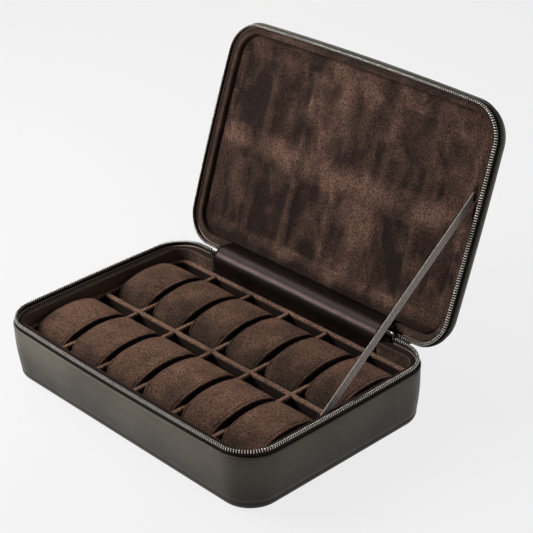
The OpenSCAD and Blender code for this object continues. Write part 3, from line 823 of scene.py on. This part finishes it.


def tray():
    outer = rounded_path(TRAY_HX, TRAY_HY, TRAY_R)
    inner = rounded_path(TRAY_HX - FRAME_T, TRAY_HY - FRAME_T, TRAY_R - FRAME_T)
    e = TRAY_EASE / FRAME_T
    turn = [(0, 1), (e * 0.12, 0.5), (e * 0.45, 0.12), (e, 0)]
    shape = [(0, TRAY_FLOOR_Z)] + [(share, TRAY_Z - TRAY_EASE * drop) for share, drop in turn]
    shape += [(0.5, TRAY_Z + 0.0001)] + [(1 - share, TRAY_Z - TRAY_EASE * drop) for share, drop in turn[::-1]]
    shape += [(1, TRAY_Z - SHADE_DROP), (1, TRAY_FLOOR_Z)]
    rim = skin("tray_rim", [level(between(outer, inner, share), z) for share, z in shape], TRAY_HIDE, True)
    low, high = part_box("long_divider")
    shade_z = high.z - SHADE_DROP

    def divider(a, b):
        return rounded_polygon([(a, low.z, 0), (a, shade_z, 0), (a, high.z, TRAY_EASE),
                                (b, high.z, TRAY_EASE), (b, shade_z, 0), (b, low.z, 0)], 5)

    long = merge("tray_long_divider", [prism(divider(low.y, high.y), "x", low.x, high.x, 76)], TRAY_HIDE)
    half_t, cell_l = FRAME_T / 2, TRAY_HY - FRAME_T - FRAME_T / 2
    pitch = (2 * (TRAY_HX - FRAME_T) + FRAME_T) / COLUMNS
    parts = []
    for i in range(1, COLUMNS):
        x = (i - COLUMNS / 2) * pitch
        for start in (-half_t - cell_l, half_t):
            parts.append(prism(divider(x - half_t, x + half_t), "y", start, start + cell_l, 24))
    cross = merge("tray_cross_dividers", parts, TRAY_HIDE)
    for piece, node in ((rim, "tray_frame"), (long, "long_divider"), (cross, "cross_dividers")):
        points = points_of(piece)
        top = np.clip((points[:, 2] - TRAY_Z + 0.004) / 0.004, 0, 1)
        points[:, 2] += 0.00025 * top * smooth_noise(points, 0.02, 5)
        set_points(piece, bow(points))
        # painted shade down the walls below their tops
        set_value(piece, "side", smooth_step((TRAY_Z - points[:, 2] - 0.0014) / (SHADE_DROP - 0.0016)))
        stands_for(piece, node, "base")
    frame["nodes"]["tray_floor"].data.materials[0] = LINING


# ---- Cushions ----
ARCH_R = 0.080
SHOULDER_R = 0.019  # rounding of the cushion's front end
BACK_R = 0.020  # and of its back end
BACK_IN = 0.0018  # the back end stops short of the cell by this much more
WAIST = 0.0022  # the front corners draw in by this much
FOOT_TUCK = 0.003
SIDE_SEAM = 0.0030  # the seam's distance from the cushion's side
ARCH_POINTS, SHOULDER_POINTS = 33, 11
CELLS = [f"{row}{column + 1}" for row in "fb" for column in range(COLUMNS)]
NAP_LEVEL = {"f": 0.66, "b": 0.50}
CUSHION_TURNS = (-0.5, 0.4, -0.2, 0.6, -0.4, 0.3, 0.5, -0.3, 0.2, -0.6, 0.4, -0.2)  # degrees, by cell


def cushion_end(top, foot, half_len, shoulder_r):
    """The arch's half angle before one end, and the points from there down to the foot."""
    shoulder_y = half_len - shoulder_r
    shoulder_z = top - ARCH_R + sqrt((ARCH_R - shoulder_r) ** 2 - shoulder_y**2)
    tilt = asin(shoulder_y / (ARCH_R - shoulder_r))
    side = [(shoulder_y + shoulder_r * sin(a), shoulder_z + shoulder_r * cos(a))
            for a in np.linspace(tilt, pi / 2, SHOULDER_POINTS + 1)[1:]]
    tucks = [(i / 12, FOOT_TUCK * (i / 12) ** 1.6) for i in range(1, 12)]
    tucks += [(0.97, FOOT_TUCK), (0.995, FOOT_TUCK + 0.0012)]
    side += [(half_len - tuck, between(shoulder_z, foot, share)) for share, tuck in tucks]
    return tilt, side


def cushion_outline(low, high):
    """The arched outline across the cushion's length, as closed (y, z) points from front to back."""
    half_len = (high.y - low.y) / 2
    front_tilt, front = cushion_end(high.z, low.z, half_len, SHOULDER_R)
    back_tilt, back = cushion_end(high.z, low.z, half_len - BACK_IN, BACK_R)
    arch = [(ARCH_R * sin(a), high.z - ARCH_R + ARCH_R * cos(a))
            for a in np.linspace(-front_tilt, back_tilt, ARCH_POINTS)]
    under = [(y, low.z) for y in (half_len - FOOT_TUCK - 0.003) * np.linspace(1, -1, 13)]
    return np.array(arch + back + under + [(-y, z) for y, z in reversed(front)])


def inward(flat, amount):
    """A closed outline, clockwise seen along +X, moved in by an amount."""
    ahead = unit(np.roll(flat, -1, axis=0) - np.roll(flat, 1, axis=0))
    return flat - np.column_stack([-ahead[:, 1], ahead[:, 0]]) * amount


def cushion_shape(low, high, seed):
    """Points and faces of one cushion about its own middle."""
    half_w, half_len, mid_z = (high.x - low.x) / 2, (high.y - low.y) / 2, (low.z + high.z) / 2
    flat = cushion_outline(low, high)
    seam = (half_w - SIDE_SEAM) / half_w
    # Share of the half width, and how far the outline is drawn in there: edge, seam channel, flat middle.
    layers = [(1.0, 0.0016), (0.996, 0.0009), (0.986, 0.0004), (0.970, 0.0001), (0.935, 0.0), (0.90, 0.0),
              (seam + 0.018, 0.0001), (seam + 0.007, 0.0004), (seam, 0.0009), (seam - 0.007, 0.0004)]
    layers += [(seam - back, 0.0) for back in (0.02, 0.06, 0.13, 0.22, 0.34, 0.48, 0.64)] + [(0.10, 0.0)]
    layers += [(0.0, 0.0)] + [(-share, inset) for share, inset in reversed(layers)]
    rows = [np.insert(inward(flat, inset), 0, share * half_w, axis=1) for share, inset in layers]
    for side in (1, -1):
        edge = rows[0 if side > 0 else -1]
        shrunk = []
        for share in (0.88, 0.7, 0.48, 0.24):
            shrunk.append(between(np.array([0.0, 0.0, mid_z]), edge, share))
            shrunk[-1][:, 0] = side * (half_w + 0.0006 * (1 - share))
        rows = shrunk[::-1] + rows if side > 0 else rows + shrunk
    count, total = len(flat), len(rows) * len(flat)
    points = np.concatenate(rows + [[[side * (half_w + 0.0006), 0.0, mid_z] for side in (1, -1)]])
    faces = quads(len(rows), count)
    for start, tip in ((0, total), (total - count, total + 1)):
        faces += [(start + j, start + (j + 1) % count, tip) for j in range(count)]
    points[:, 0] *= 1 - WAIST / half_w * smooth_step((0.014 - half_len - points[:, 1]) / 0.014) ** 1.5
    top = np.clip((points[:, 2] - low.z - 0.012) / 0.02, 0, 1)
    across = np.clip(1 - (points[:, 0] / (half_w * seam)) ** 2, 0, 1)
    points[:, 2] += top * (0.0007 * across**0.7 - 0.0003)
    points[:, 2] += top * 0.00035 * smooth_noise(points, 0.012, seed)
    points[:, 1] += 0.0003 * smooth_noise(points, 0.016, seed + 9)
    puckers = np.exp(-((np.abs(points[:, 0]) - half_w * seam) / 0.0018) ** 2)
    points[:, 2] += top * puckers * 0.0002 * np.sin(points[:, 1] / 0.0042 * 2 * pi + seed)
    return points, faces


def cushions():
    for index, cell in enumerate(CELLS):
        body = "seat_" + cell
        (mid_x, mid_y, _), (half_w, _, _) = middle_and_half("cushion_" + cell)
        turn = radians(CUSHION_TURNS[index])

        def seated(points):
            """Turns the cushion's points a little and puts them in its cell."""
            x, y, z = points.T
            x, y = cos(turn) * x - sin(turn) * y, sin(turn) * x + cos(turn) * y
            return np.column_stack([mid_x + x, mid_y + y, z])

        points, faces = cushion_shape(*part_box("cushion_f1"), index)
        # painted shade on the cushion's side faces
        side = np.clip((np.abs(points[:, 0]) / half_w - 0.990) / 0.008, 0, 1)
        points = seated(points)
        piece = make_piece("watch_cushion_" + cell, points, faces, CUSHION_HIDE)
        nap = NAP_LEVEL[cell[0]] + 0.28 * smooth_noise(points, 0.022, index + 20)
        # painted shade: the suede darker towards the cushion's front slope
        nap -= 0.40 * np.clip((mid_y - points[:, 1] - 0.004) / 0.030, 0, 1)
        set_value(piece, "nap", nap)
        set_value(piece, "side", side)
        stands_for(piece, "cushion_" + cell, body)
        flat = cushion_outline(*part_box("cushion_" + cell))[:ARCH_POINTS + SHOULDER_POINTS] - [0, 0.0006]
        for hand, x in (("l", SIDE_SEAM - half_w), ("r", half_w - SIDE_SEAM)):
            line = seated(np.insert(flat, 0, x, axis=1))
            stitches(f"seam_{cell}_{hand}", line, SEAM, body,
                     pitch=0.0030, length=0.0021, width=0.00055)


# ---- Lid ----
LID_LEAN = 0.0021  # how far the lid's wall leans in between its rim and its crown
CROWN_OFF = WRAP_OUT - LID_LEAN - CROWN_R


def lid_skin():
    profile = [(off, LID_EDGE_Z + drop) for off, drop in RIM]
    crown_z = LID_TOP_Z - CROWN_R
    for i in range(4):
        z = between(LID_EDGE_Z + 0.0035, crown_z, i / 3)
        profile.append((WRAP_OUT - LID_LEAN * (i + 0.15) / 3.15, z))
    for a in np.radians(np.linspace(0, 90, 9))[1:]:
        profile.append((CROWN_OFF + CROWN_R * cos(a), crown_z + CROWN_R * sin(a)))
    turned, inside_z = CROWN_OFF - TURN_W, LID_TOP_Z - LEATHER_T
    profile += [(turned + 0.0004, LID_TOP_Z), (turned, LID_TOP_Z - 0.0005), (turned, inside_z),
                (CROWN_OFF, inside_z), (BIND_IN + 0.0001, crown_z),
                (BIND_IN + 0.0001, LID_EDGE_Z + TAPE_SEWN + 0.0001)]
    stands_for(band("lid_skin", profile, LEATHER, lid_place), "lid_wrap", "lid")
    line = bow(ring(LID_EDGE_Z + STITCH_DROP, WRAP_OUT, step=0.002))
    stitches("lid_rim_stitches", line, OUTER_THREAD, "lid", away_from_middle, place=opened)
    flat_panel("lid_top_panel", "lid_top", "lid", turned - 0.0001, inside_z, LID_TOP_Z, lid_place)
    line = ring(LID_TOP_Z, turned - 0.003, step=0.002)
    stitches("lid_top_stitches", line, OUTER_THREAD, "lid", place=opened)


PAD_SEAM_DROP = 0.0007
IMPRINT_DEPTH = 0.0013
IMPRINT_EASE = 0.0045
PAD_EASE = 0.0028  # the pad swells to its full height this far from its seam
PAD_NX, PAD_NY = 150, 100
CUSHION_BRUSH = (-0.9, -0.5, 0.2, -0.6, -0.8, 0.1, -0.2, -1.0, -0.9, 0.3, -1.0, -0.4)  # how each lays the nap


def cushion_traces(x, y):
    """How far each point of the pad is pressed in by the cushion below it, and how its nap is laid."""
    pressed, marks = np.zeros((2, len(x)))
    for index, cell in enumerate(CELLS):
        (mid_x, mid_y, _), (half_x, half_y, _) = middle_and_half("cushion_" + cell)
        dx, dy = np.abs(x - mid_x) - half_x, np.abs(y - mid_y) - half_y + 0.004
        outside = np.hypot(np.maximum(dx, 0), np.maximum(dy, 0)) + np.minimum(np.maximum(dx, dy), 0)
        pressed = np.maximum(pressed, smooth_step((IMPRINT_EASE * 0.3 - outside) / IMPRINT_EASE))
        dx = (np.abs(x - mid_x - 0.002 * np.sin(y * 60 + index)) - half_x + 0.004) / 0.004
        dy = (np.abs(y - mid_y) - half_y + 0.010) / 0.006
        marks += smooth_step(1 - dx) * smooth_step(1 - dy) * CUSHION_BRUSH[index]
    return pressed, marks


def lid_pad():
    hx, hy, r = (size + LID_LINER_IN - PAD_GAP for size in (HALF_W, HALF_D, CORNER_R))
    grid = np.meshgrid(np.linspace(-1, 1, PAD_NX + 1), np.linspace(-1, 1, PAD_NY + 1))
    u, v = (np.sign(t) * (1 - (1 - np.abs(t)) ** 1.25) for t in grid)  # closer together at the edges
    y = v * hy
    reach = np.maximum(np.abs(y) - (hy - r), 0)
    x = u * (hx - (r - np.sqrt(np.maximum(r * r - reach**2, 0))))
    x, y = x.ravel(), y.ravel()
    qx, qy = np.abs(x) - (hx - r), np.abs(y) - (hy - r)
    inside = r - np.hypot(np.maximum(qx, 0), np.maximum(qy, 0)) - np.minimum(np.maximum(qx, qy), 0)
    crown = np.sqrt(np.clip(1 - (1 - np.clip(inside / PAD_EASE, 0, 1)) ** 2, 0, 1))
    patch_y = closed(points_of(frame["nodes"]["lid_stay_patch"]))[:, 1]
    from_patch = np.abs(y - (patch_y.min() + patch_y.max()) / 2) - (patch_y.max() - patch_y.min()) / 2
    crown *= 1 - smooth_step((x - hx + 0.006) / 0.003) * smooth_step((0.004 - from_patch) / 0.0035)
    pressed, marks = cushion_traces(x, y)
    flat = np.column_stack([x, y, np.zeros_like(x)])
    waves, folds = smooth_noise(flat, 0.03, 11), smooth_noise(flat * [1.6, 0.7, 1], 0.012, 15)
    depth = PAD_DEPTH + PAD_SEAM_DROP - crown * (PAD_CROWN + PAD_SEAM_DROP - 0.0002)
    depth += crown * (pressed * IMPRINT_DEPTH + 0.0005 * waves + 0.00018 * folds)
    points = np.column_stack([x, y, ZIP_Z + depth])
    index = np.arange(len(points)).reshape(PAD_NY + 1, PAD_NX + 1)
    border = np.concatenate([index[0, :-1], index[:-1, -1], index[-1, :0:-1], index[:0:-1, 0]])
    skirt = points[border]
    skirt[:, 2] = LID_PAD_TOP - 0.0001
    foot = len(points) + np.arange(len(border))
    faces = quads(PAD_NY + 1, PAD_NX + 1, False)
    faces += [*zip(border, np.roll(border, -1), np.roll(foot, -1), foot), foot]
    points = np.concatenate([points, skirt])

    streaks = smooth_noise(flat * [1, 0.35, 1], 0.016, 21)
    ridge = np.exp(-((y + 0.001) / 0.009) ** 2)
    outline_mark = np.exp(-((pressed - 0.5) / 0.2) ** 2) * (smooth_noise(flat, 0.03, 51) > 0.1)
    worn = 0.5 + 0.5 * smooth_noise(flat, 0.03, 61)
    # painted shade: the pad darker towards its left
    nap = 0.55 + 0.28 * streaks + 0.32 * smooth_noise(flat, 0.024, 31) - 0.16 * smooth_step(-x / hx)
    nap += 0.60 * worn * marks + 0.30 * ridge + 0.42 * outline_mark * worn
    nap -= 0.26 * smooth_step((smooth_noise(flat * [1, 0.6, 1], 0.018, 91) - 0.22) / 0.2)
    nap += 0.20 * smooth_step((smooth_noise(flat * [1, 0.7, 1], 0.020, 95) - 0.30) / 0.2)
    # painted shade along the pad's hinge side, next to the roll
    nap -= 0.45 * smooth_step((y - hy + 0.012) / 0.009)
    piece = make_piece("lid_suede_pad", lid_place(points), faces, PAD_HIDE)
    set_value(piece, "nap", np.concatenate([nap, np.full(len(skirt), 0.5)]))
    stands_for(piece, "lid_pad", "lid")


# ---- Soft hinge ----
GUSSET_T = 0.0012
WEB_X = 0.1211  # the tapes' woven web beside the slider, on to the corner
WEB_HALF = 0.0130
WEB_T = 0.0009
ROLL_RISE = 0.0150  # how squarely the roll leaves the base's wall and meets the lid's
ROLL_REACH = 0.0130


def strip_piece(name, line, thickness, half, material, ripple, columns=72, middle=0.0):
    """A strip of even thickness along a (y, z) line, run across the case."""
    ahead = unit(np.gradient(line, axis=0))
    side = np.column_stack([-ahead[:, 1], ahead[:, 0]])
    loop = np.concatenate([line + side * thickness / 2, (line - side * thickness / 2)[::-1]])
    points, faces = prism(loop, "x", middle - half, middle + half, columns)
    wave = smooth_noise(points * [1, 0.25, 0.25], 0.022, 41)
    ripples = side * ripple[:, None]
    points[:, 1:] += np.tile(np.concatenate([ripples, ripples[::-1]]), (columns + 1, 1)) * wave[:, None]
    piece = make_piece(name, points, faces, material)
    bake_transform(piece)
    return piece


def bezier(a, b, c, d, n):
    t = np.linspace(0, 1, n + 1)[:, None]
    return (1 - t) ** 3 * a + 3 * t * (1 - t) ** 2 * b + 3 * t * t * (1 - t) * c + t**3 * d


def open_point(y, z):
    return opened([0.0, y, z])[1:]


def spine_line():
    """The outer leather's line: straight up the base's back, round one bend, and straight on to the lid."""
    edge_y = HALF_D + (TAPE_OUT + 0.0001 + WRAP_OUT) / 2
    start, end = np.array([edge_y, EDGE_Z + 0.0001]), open_point(edge_y, LID_EDGE_Z - 0.0001)
    lid_run = (end[0] - start[0]) / sin(OPEN)
    base_run = end[1] - lid_run * cos(OPEN) - start[1]
    bend_run = min(lid_run, base_run)
    bend_r = bend_run / tan(OPEN / 2)
    centre = start + [bend_r, base_run - bend_run]
    bend = [centre + bend_r * np.array([cos(a), sin(a)]) for a in np.linspace(pi, pi - OPEN, 17)]
    return np.array([start] * bool(base_run > bend_run) + bend + [end] * bool(lid_run > bend_run))


def hinge_pieces():
    spine = spine_line()
    ripple = np.full(len(spine), 0.0001)
    piece = strip_piece("hinge_outer_leather", spine, GUSSET_T, HINGE_HALF, LEATHER, ripple)
    stands_for(piece, "hinge_spine")
    web = strip_piece("zip_end_web", spine, WEB_T, WEB_HALF, TAPE, np.zeros(len(spine)), 16, WEB_X)
    set_strip(web, [(v.co.x, v.co.z, 0) for v in web.data.vertices])

    lid_y = HALF_D + LID_LINER_IN - GUSSET_T / 2
    over = open_point(lid_y, LID_EDGE_Z + 0.0012)
    into = unit(over - open_point(lid_y, LID_EDGE_Z + 0.0022))
    low = np.array([HALF_D + LINER_IN - GUSSET_T / 2, EDGE_Z - 0.0012])
    roll = bezier(low, low + [0, ROLL_RISE], over + into * ROLL_REACH, over, 26)
    roll = np.concatenate([[low - [0, 0.0012]], roll, [over - into * 0.0024]])
    ripple = 0.0004 * np.sin(np.linspace(0, pi, len(roll))) ** 2
    piece = strip_piece("hinge_inner_leather", roll, GUSSET_T, HINGE_HALF, HINGE_HIDE, ripple)
    stands_for(piece, "hinge_gusset")
    for hand, side in (("l", -1), ("r", 1)):
        x, y = side * (HINGE_HALF + 0.0012), HALF_D + LINER_IN - 0.0002
        line = [(x, y, EDGE_Z - 0.0015), (x, y, TRAY_Z + 0.0005)]
        stitches("hinge_end_stitches_" + hand, line, SEAM, "base", (0, -1.0, 0), pitch=0.0022, length=0.0015)


# ---- Stay ----
STAY_W = 0.0085


def stay():
    (x, _, _), (half_t, _, _) = middle_and_half("stay_ribbon")
    start, end = (middle_and_half(node)[0][1:] for node in ("base_stay_patch", "lid_stay_patch"))
    length, run = np.linalg.norm(end - start), unit(end - start)
    side = np.array([-run[1], run[0]])
    half = np.array([STAY_W / 2, half_t])
    section = eased_box(-half, half, [0.00025] * 4, 3)
    dense = []
    for a, b in zip(section, np.roll(section, -1, axis=0)):
        n = 8 if np.linalg.norm(b - a) > 0.002 else 1
        dense += [between(a, b, k / n) for k in range(n)]
    points, strip = [], []
    for s in np.linspace(0, length, 91):
        points += [(x + thick, *(start + run * s + side * across)) for across, thick in dense]
        strip += [(s, across + STAY_W, 0) for across, thick in dense]
    piece = make_piece("stay_strap", points, lofted(91, len(dense)), WEBBING)
    set_strip(piece, strip)
    from_middle = np.abs(np.array(strip)[:, 1] - STAY_W) / half[0]
    set_value(piece, "selvedge", np.clip((from_middle - 0.8) / 0.15, 0, 1))
    stands_for(piece, "stay_ribbon")
    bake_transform(piece)
    low, high = patch("base")
    x, (y0, z0), (y1, z1) = low[0] - 0.00005, low[1:] + 0.0013, high[1:] - 0.0013
    loop = [(x, y0, z0), (x, y1, z0), (x, y1, z1), (x, y0, z1), (x, y0, z0)]
    stitches("base_strap_patch_stitches", loop, SEAM, "base", (-1.0, 0, 0), pitch=0.0022, length=0.0016,
             width=0.0004)
    patch("lid", closed, opened)


def patch(body, back=np.array, place=None):
    """A small suede patch over the strap's sewn end."""
    corners = back(points_of(frame["nodes"][body + "_stay_patch"]))
    low, high = corners.min(0), corners.max(0)
    piece = merge(body + "_strap_patch", [bevelled_block(low, high, 0.00028)], LINING, place)
    stands_for(piece, body + "_stay_patch", body)
    return low, high


# ---- Slider and pull ----
SLIDER_GAP = 0.0002
PLATE_T = 0.0014
FACE_Y = HALF_D + TAPE_OUT + SLIDER_GAP  # the outer plate's inner face
PIN_R = 0.0008
EYE_R = 0.00138
EYE_W = 0.003
EYE_BAR = 0.00055
ARM_T = 0.0014
LINK_L = 0.009
LINK_BEND = 0.0012


def plate(half_x, z0, z1, y0, x):
    """A shield-shaped slider plate with rounded corners and softened faces."""
    flat = eased_box((x - half_x, z0), (x + half_x, z1), (0.0035, 0.0014, 0.0014, 0.0035), 7)
    levels = [(0, 0.90), (0.15, 0.97), (0.4, 1.0), (0.6, 1.0), (0.85, 0.97), (1, 0.90)]
    return slab([(y0 + PLATE_T * up, between(flat.mean(axis=0), flat, share)) for up, share in levels])


def tube(path, radius, sides=10):
    """Points and faces of a round bar along a path."""
    path = np.asarray(path, float)
    points, u = [], None
    for p, t in zip(path, unit(np.gradient(path, axis=0))):
        if u is None:
            u = np.cross(t, [0, 0, 1.0] if abs(t[2]) < 0.9 else [1.0, 0, 0])
        u = unit(u - t * (u @ t))
        w = np.cross(t, u)
        points += [p + radius * (cos(a) * u + sin(a) * w) for a in np.arange(sides) * 2 * pi / sides]
    return np.array(points), lofted(len(path), sides)


def slider():
    low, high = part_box("slider")
    x, pin_y, pin_z = SWING["pos_m"]
    half = (high.x - low.x) / 2
    foot = (x - half / 3, low.y + 0.0003, BASE_ROOT + SLIDER_GAP)
    head = (x + half / 3, FACE_Y + PLATE_T - 0.0003, high.z)
    parts = [plate(half, low.z, high.z, y, x) for y in (low.y, FACE_Y)] + [bevelled_block(foot, head, 0.0006)]
    eye = [(pin_y + EYE_R * sin(a), pin_z + EYE_R * cos(a)) for a in np.linspace(0, pi, 11)]
    eye = [(FACE_Y + 0.0005, pin_z + EYE_R)] + eye + [(FACE_Y + 0.0005, pin_z - EYE_R)]
    for shift in (0.0005 - EYE_W / 2, 0.0, EYE_W / 2 - 0.0005):
        parts.append(tube([(x + shift, y, z) for y, z in eye], EYE_BAR))
    piece = merge("zip_slider", parts, METAL)
    points = points_of(piece)
    # painted shade over the slider's inner plate, leaving a bright rim at its foot and left end
    plate_painted_shade = (points[:, 2] - low.z - 0.0009) / 0.0016 + (points[:, 0] - x) / 0.006
    set_value(piece, "gap", np.where(points[:, 1] < FACE_Y - 0.0003, plate_painted_shade, 0.0))
    stands_for(piece, "slider", "base")

    half_link = EYE_W / 2 + 0.0004 + ARM_T
    arm, foot = half_link - ARM_T / 2, pin_z - LINK_L + 0.0007
    heights = [pin_z + 0.0003, *np.linspace(pin_z, foot + LINK_BEND, 7)[1:]]
    side = [(arm, z) for z in heights] + [(arm - LINK_BEND, foot)]
    loop = [(x - a, pin_y, z) for a, z in side] + [(x + a, pin_y, z) for a, z in side[::-1]]
    pin = [(x - half_link, pin_y, pin_z), (x + half_link, pin_y, pin_z)]
    piece = merge("pull_loop", [tube(pin, PIN_R, 12), tube(loop, 0.0007)], METAL)
    stands_for(piece, "pull_link", "pull")
    pull_tab(x)


def pull_tab(x):
    """The leather tab, thick and rounded, with a stitched border."""
    low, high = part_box("pull_tab")
    half = (high.x - low.x) / 2
    straight = np.linspace(high.z, low.z + half, 7)[:-1]
    arc = [(x - half * cos(a), low.z + half - half * sin(a)) for a in np.linspace(0, pi, 17)]
    flat = np.array([(x - half, z) for z in straight] + arc + [(x + half, z) for z in straight[::-1]])
    middle = np.array([x, (low.z + high.z) / 2])
    edge = [(0, 0.0006), (0.0003, 0.0001), (0.0008, 0.0)]
    levels = [(low.y + up, inset) for up, inset in edge] + [(high.y - up, inset) for up, inset in edge[::-1]]
    part = slab([(y, flat + unit(middle - flat) * inset) for y, inset in levels])
    stands_for(merge("pull_tab_leather", [part], LEATHER), "pull_tab", "pull")
    line = [(a, high.y, b) for a, b in between(middle, flat, 0.8)]
    stitches("pull_tab_stitches", line, OUTER_THREAD, "pull", (0, 1.0, 0), pitch=0.0018, length=0.0013,
             width=0.0004)


# ---- Stage, light and camera ----
BACKDROP = 0.868  # the pale grey background, as linear light
FLOOR_GLOW = 0.902  # the floor's own share of that, a little more because it also takes shadows
FLOOR_SEEN = 0.9  # share of the glow that the camera sees, the rest being the lamps on the floor
FLOOR_BOUNCE = 0.10  # share of it that the floor throws up on to the case
WORLD_LIGHT = 0.11


def seen_level(tree, ray, low, high):
    """high for what the camera or the named ray sees, and low for the light on the object."""
    rays = add_node(tree, "ShaderNodeLightPath").outputs
    seen = add_node(tree, "ShaderNodeMath", {0: rays["Is Camera Ray"], 1: rays[ray]}, operation="MAXIMUM")
    inputs = {"Value": seen.outputs[0], "To Min": low, "To Max": high}
    return add_node(tree, "ShaderNodeMapRange", inputs).outputs[0]


def stage_material():
    material = bpy.data.materials.new("pale_floor")
    material.use_nodes = True
    tree = material.node_tree
    tree.nodes.clear()
    diffuse = add_node(tree, "ShaderNodeBsdfDiffuse", {"Color": (0.8, 0.8, 0.8, 1)})
    glow = add_node(tree, "ShaderNodeEmission", {"Color": (FLOOR_GLOW, FLOOR_GLOW, FLOOR_GLOW, 1)})
    share = seen_level(tree, "Is Glossy Ray", FLOOR_BOUNCE, FLOOR_SEEN)
    mix = add_node(tree, "ShaderNodeMixShader", {0: share, 1: diffuse.outputs[0], 2: glow.outputs[0]})
    add_node(tree, "ShaderNodeOutputMaterial", {"Surface": mix.outputs[0]})
    return material


def world():
    made = bpy.data.worlds.new("studio")
    bpy.context.scene.world = made
    made.use_nodes = True
    tree = made.node_tree
    background = tree.nodes["Background"]
    background.inputs["Color"].default_value = (1, 1, 1, 1)
    strength = seen_level(tree, "Is Transmission Ray", WORLD_LIGHT, BACKDROP)
    tree.links.new(strength, background.inputs["Strength"])


def soft_lamp(name, place, size, power):
    light = bpy.data.lights.new(name, "AREA")
    light.shape = "RECTANGLE"
    light.size, light.size_y = size
    light.energy = power
    lamp = bpy.data.objects.new(name, light)
    bpy.context.scene.collection.objects.link(lamp)
    lamp.location = place
    lamp.rotation_mode = "QUATERNION"
    lamp.rotation_quaternion = (Vector((0, 0, 0.08)) - Vector(place)).to_track_quat("-Z", "Y")


def studio():
    corners = [(-6, -6, 0), (6, -6, 0), (6, 6, 0), (-6, 6, 0)]
    floor = make_piece("floor", corners, [(0, 1, 2, 3)], stage_material(), False)
    floor.location.z = -0.0002
    world()
    soft_lamp("key_left", (-0.70, -0.54, 0.62), (0.5, 0.45), 13.5)
    soft_lamp("overhead", (-0.90, 0.15, 1.22), (0.9, 0.9), 9.8)
    soft_lamp("fill_right", (1.15, 0.95, 0.5), (0.9, 0.8), 4.5)


CAMERA_AZ, CAMERA_EL, CAMERA_ROLL = (radians(a) for a in (47.585, 28.415, -1.78))
CAMERA_AIM = Vector((-0.083822, 0.14533, 0.040))
CAMERA_DISTANCE = 1.64613
FOCAL_PIXELS = 1682.284
PICTURE_WIDTH = 533


def camera():
    data = bpy.data.cameras.new("photo_view")
    data.sensor_width = 36
    data.lens = FOCAL_PIXELS * data.sensor_width / PICTURE_WIDTH
    data.clip_start, data.clip_end = 0.05, 50
    made = bpy.data.objects.new("photo_view", data)
    bpy.context.scene.collection.objects.link(made)
    turn = Matrix.Rotation(CAMERA_AZ, 4, "Z") @ Matrix.Rotation(pi / 2 - CAMERA_EL, 4, "X")
    turn = turn @ Matrix.Rotation(CAMERA_ROLL, 4, "Z")
    made.matrix_world = Matrix.Translation(CAMERA_AIM) @ turn @ Matrix.Translation((0, 0, CAMERA_DISTANCE))
    bpy.context.scene.camera = made


bpy.context.scene.view_settings.view_transform = "Standard"
camera()
studio()
base_skin()
base_sole()
for make in (teeth, tape, binding, end_stops):
    for body in SIDES:
        make(body)
base_lining()
base_back_padding()
tray()
cushions()
lid_skin()
lid_lining()
lid_back_padding()
lid_pad()
hinge_pieces()
stay()
slider()
for hidden in ("base_board", "lid_board"):
    frame["nodes"][hidden].data.materials[0] = CARD
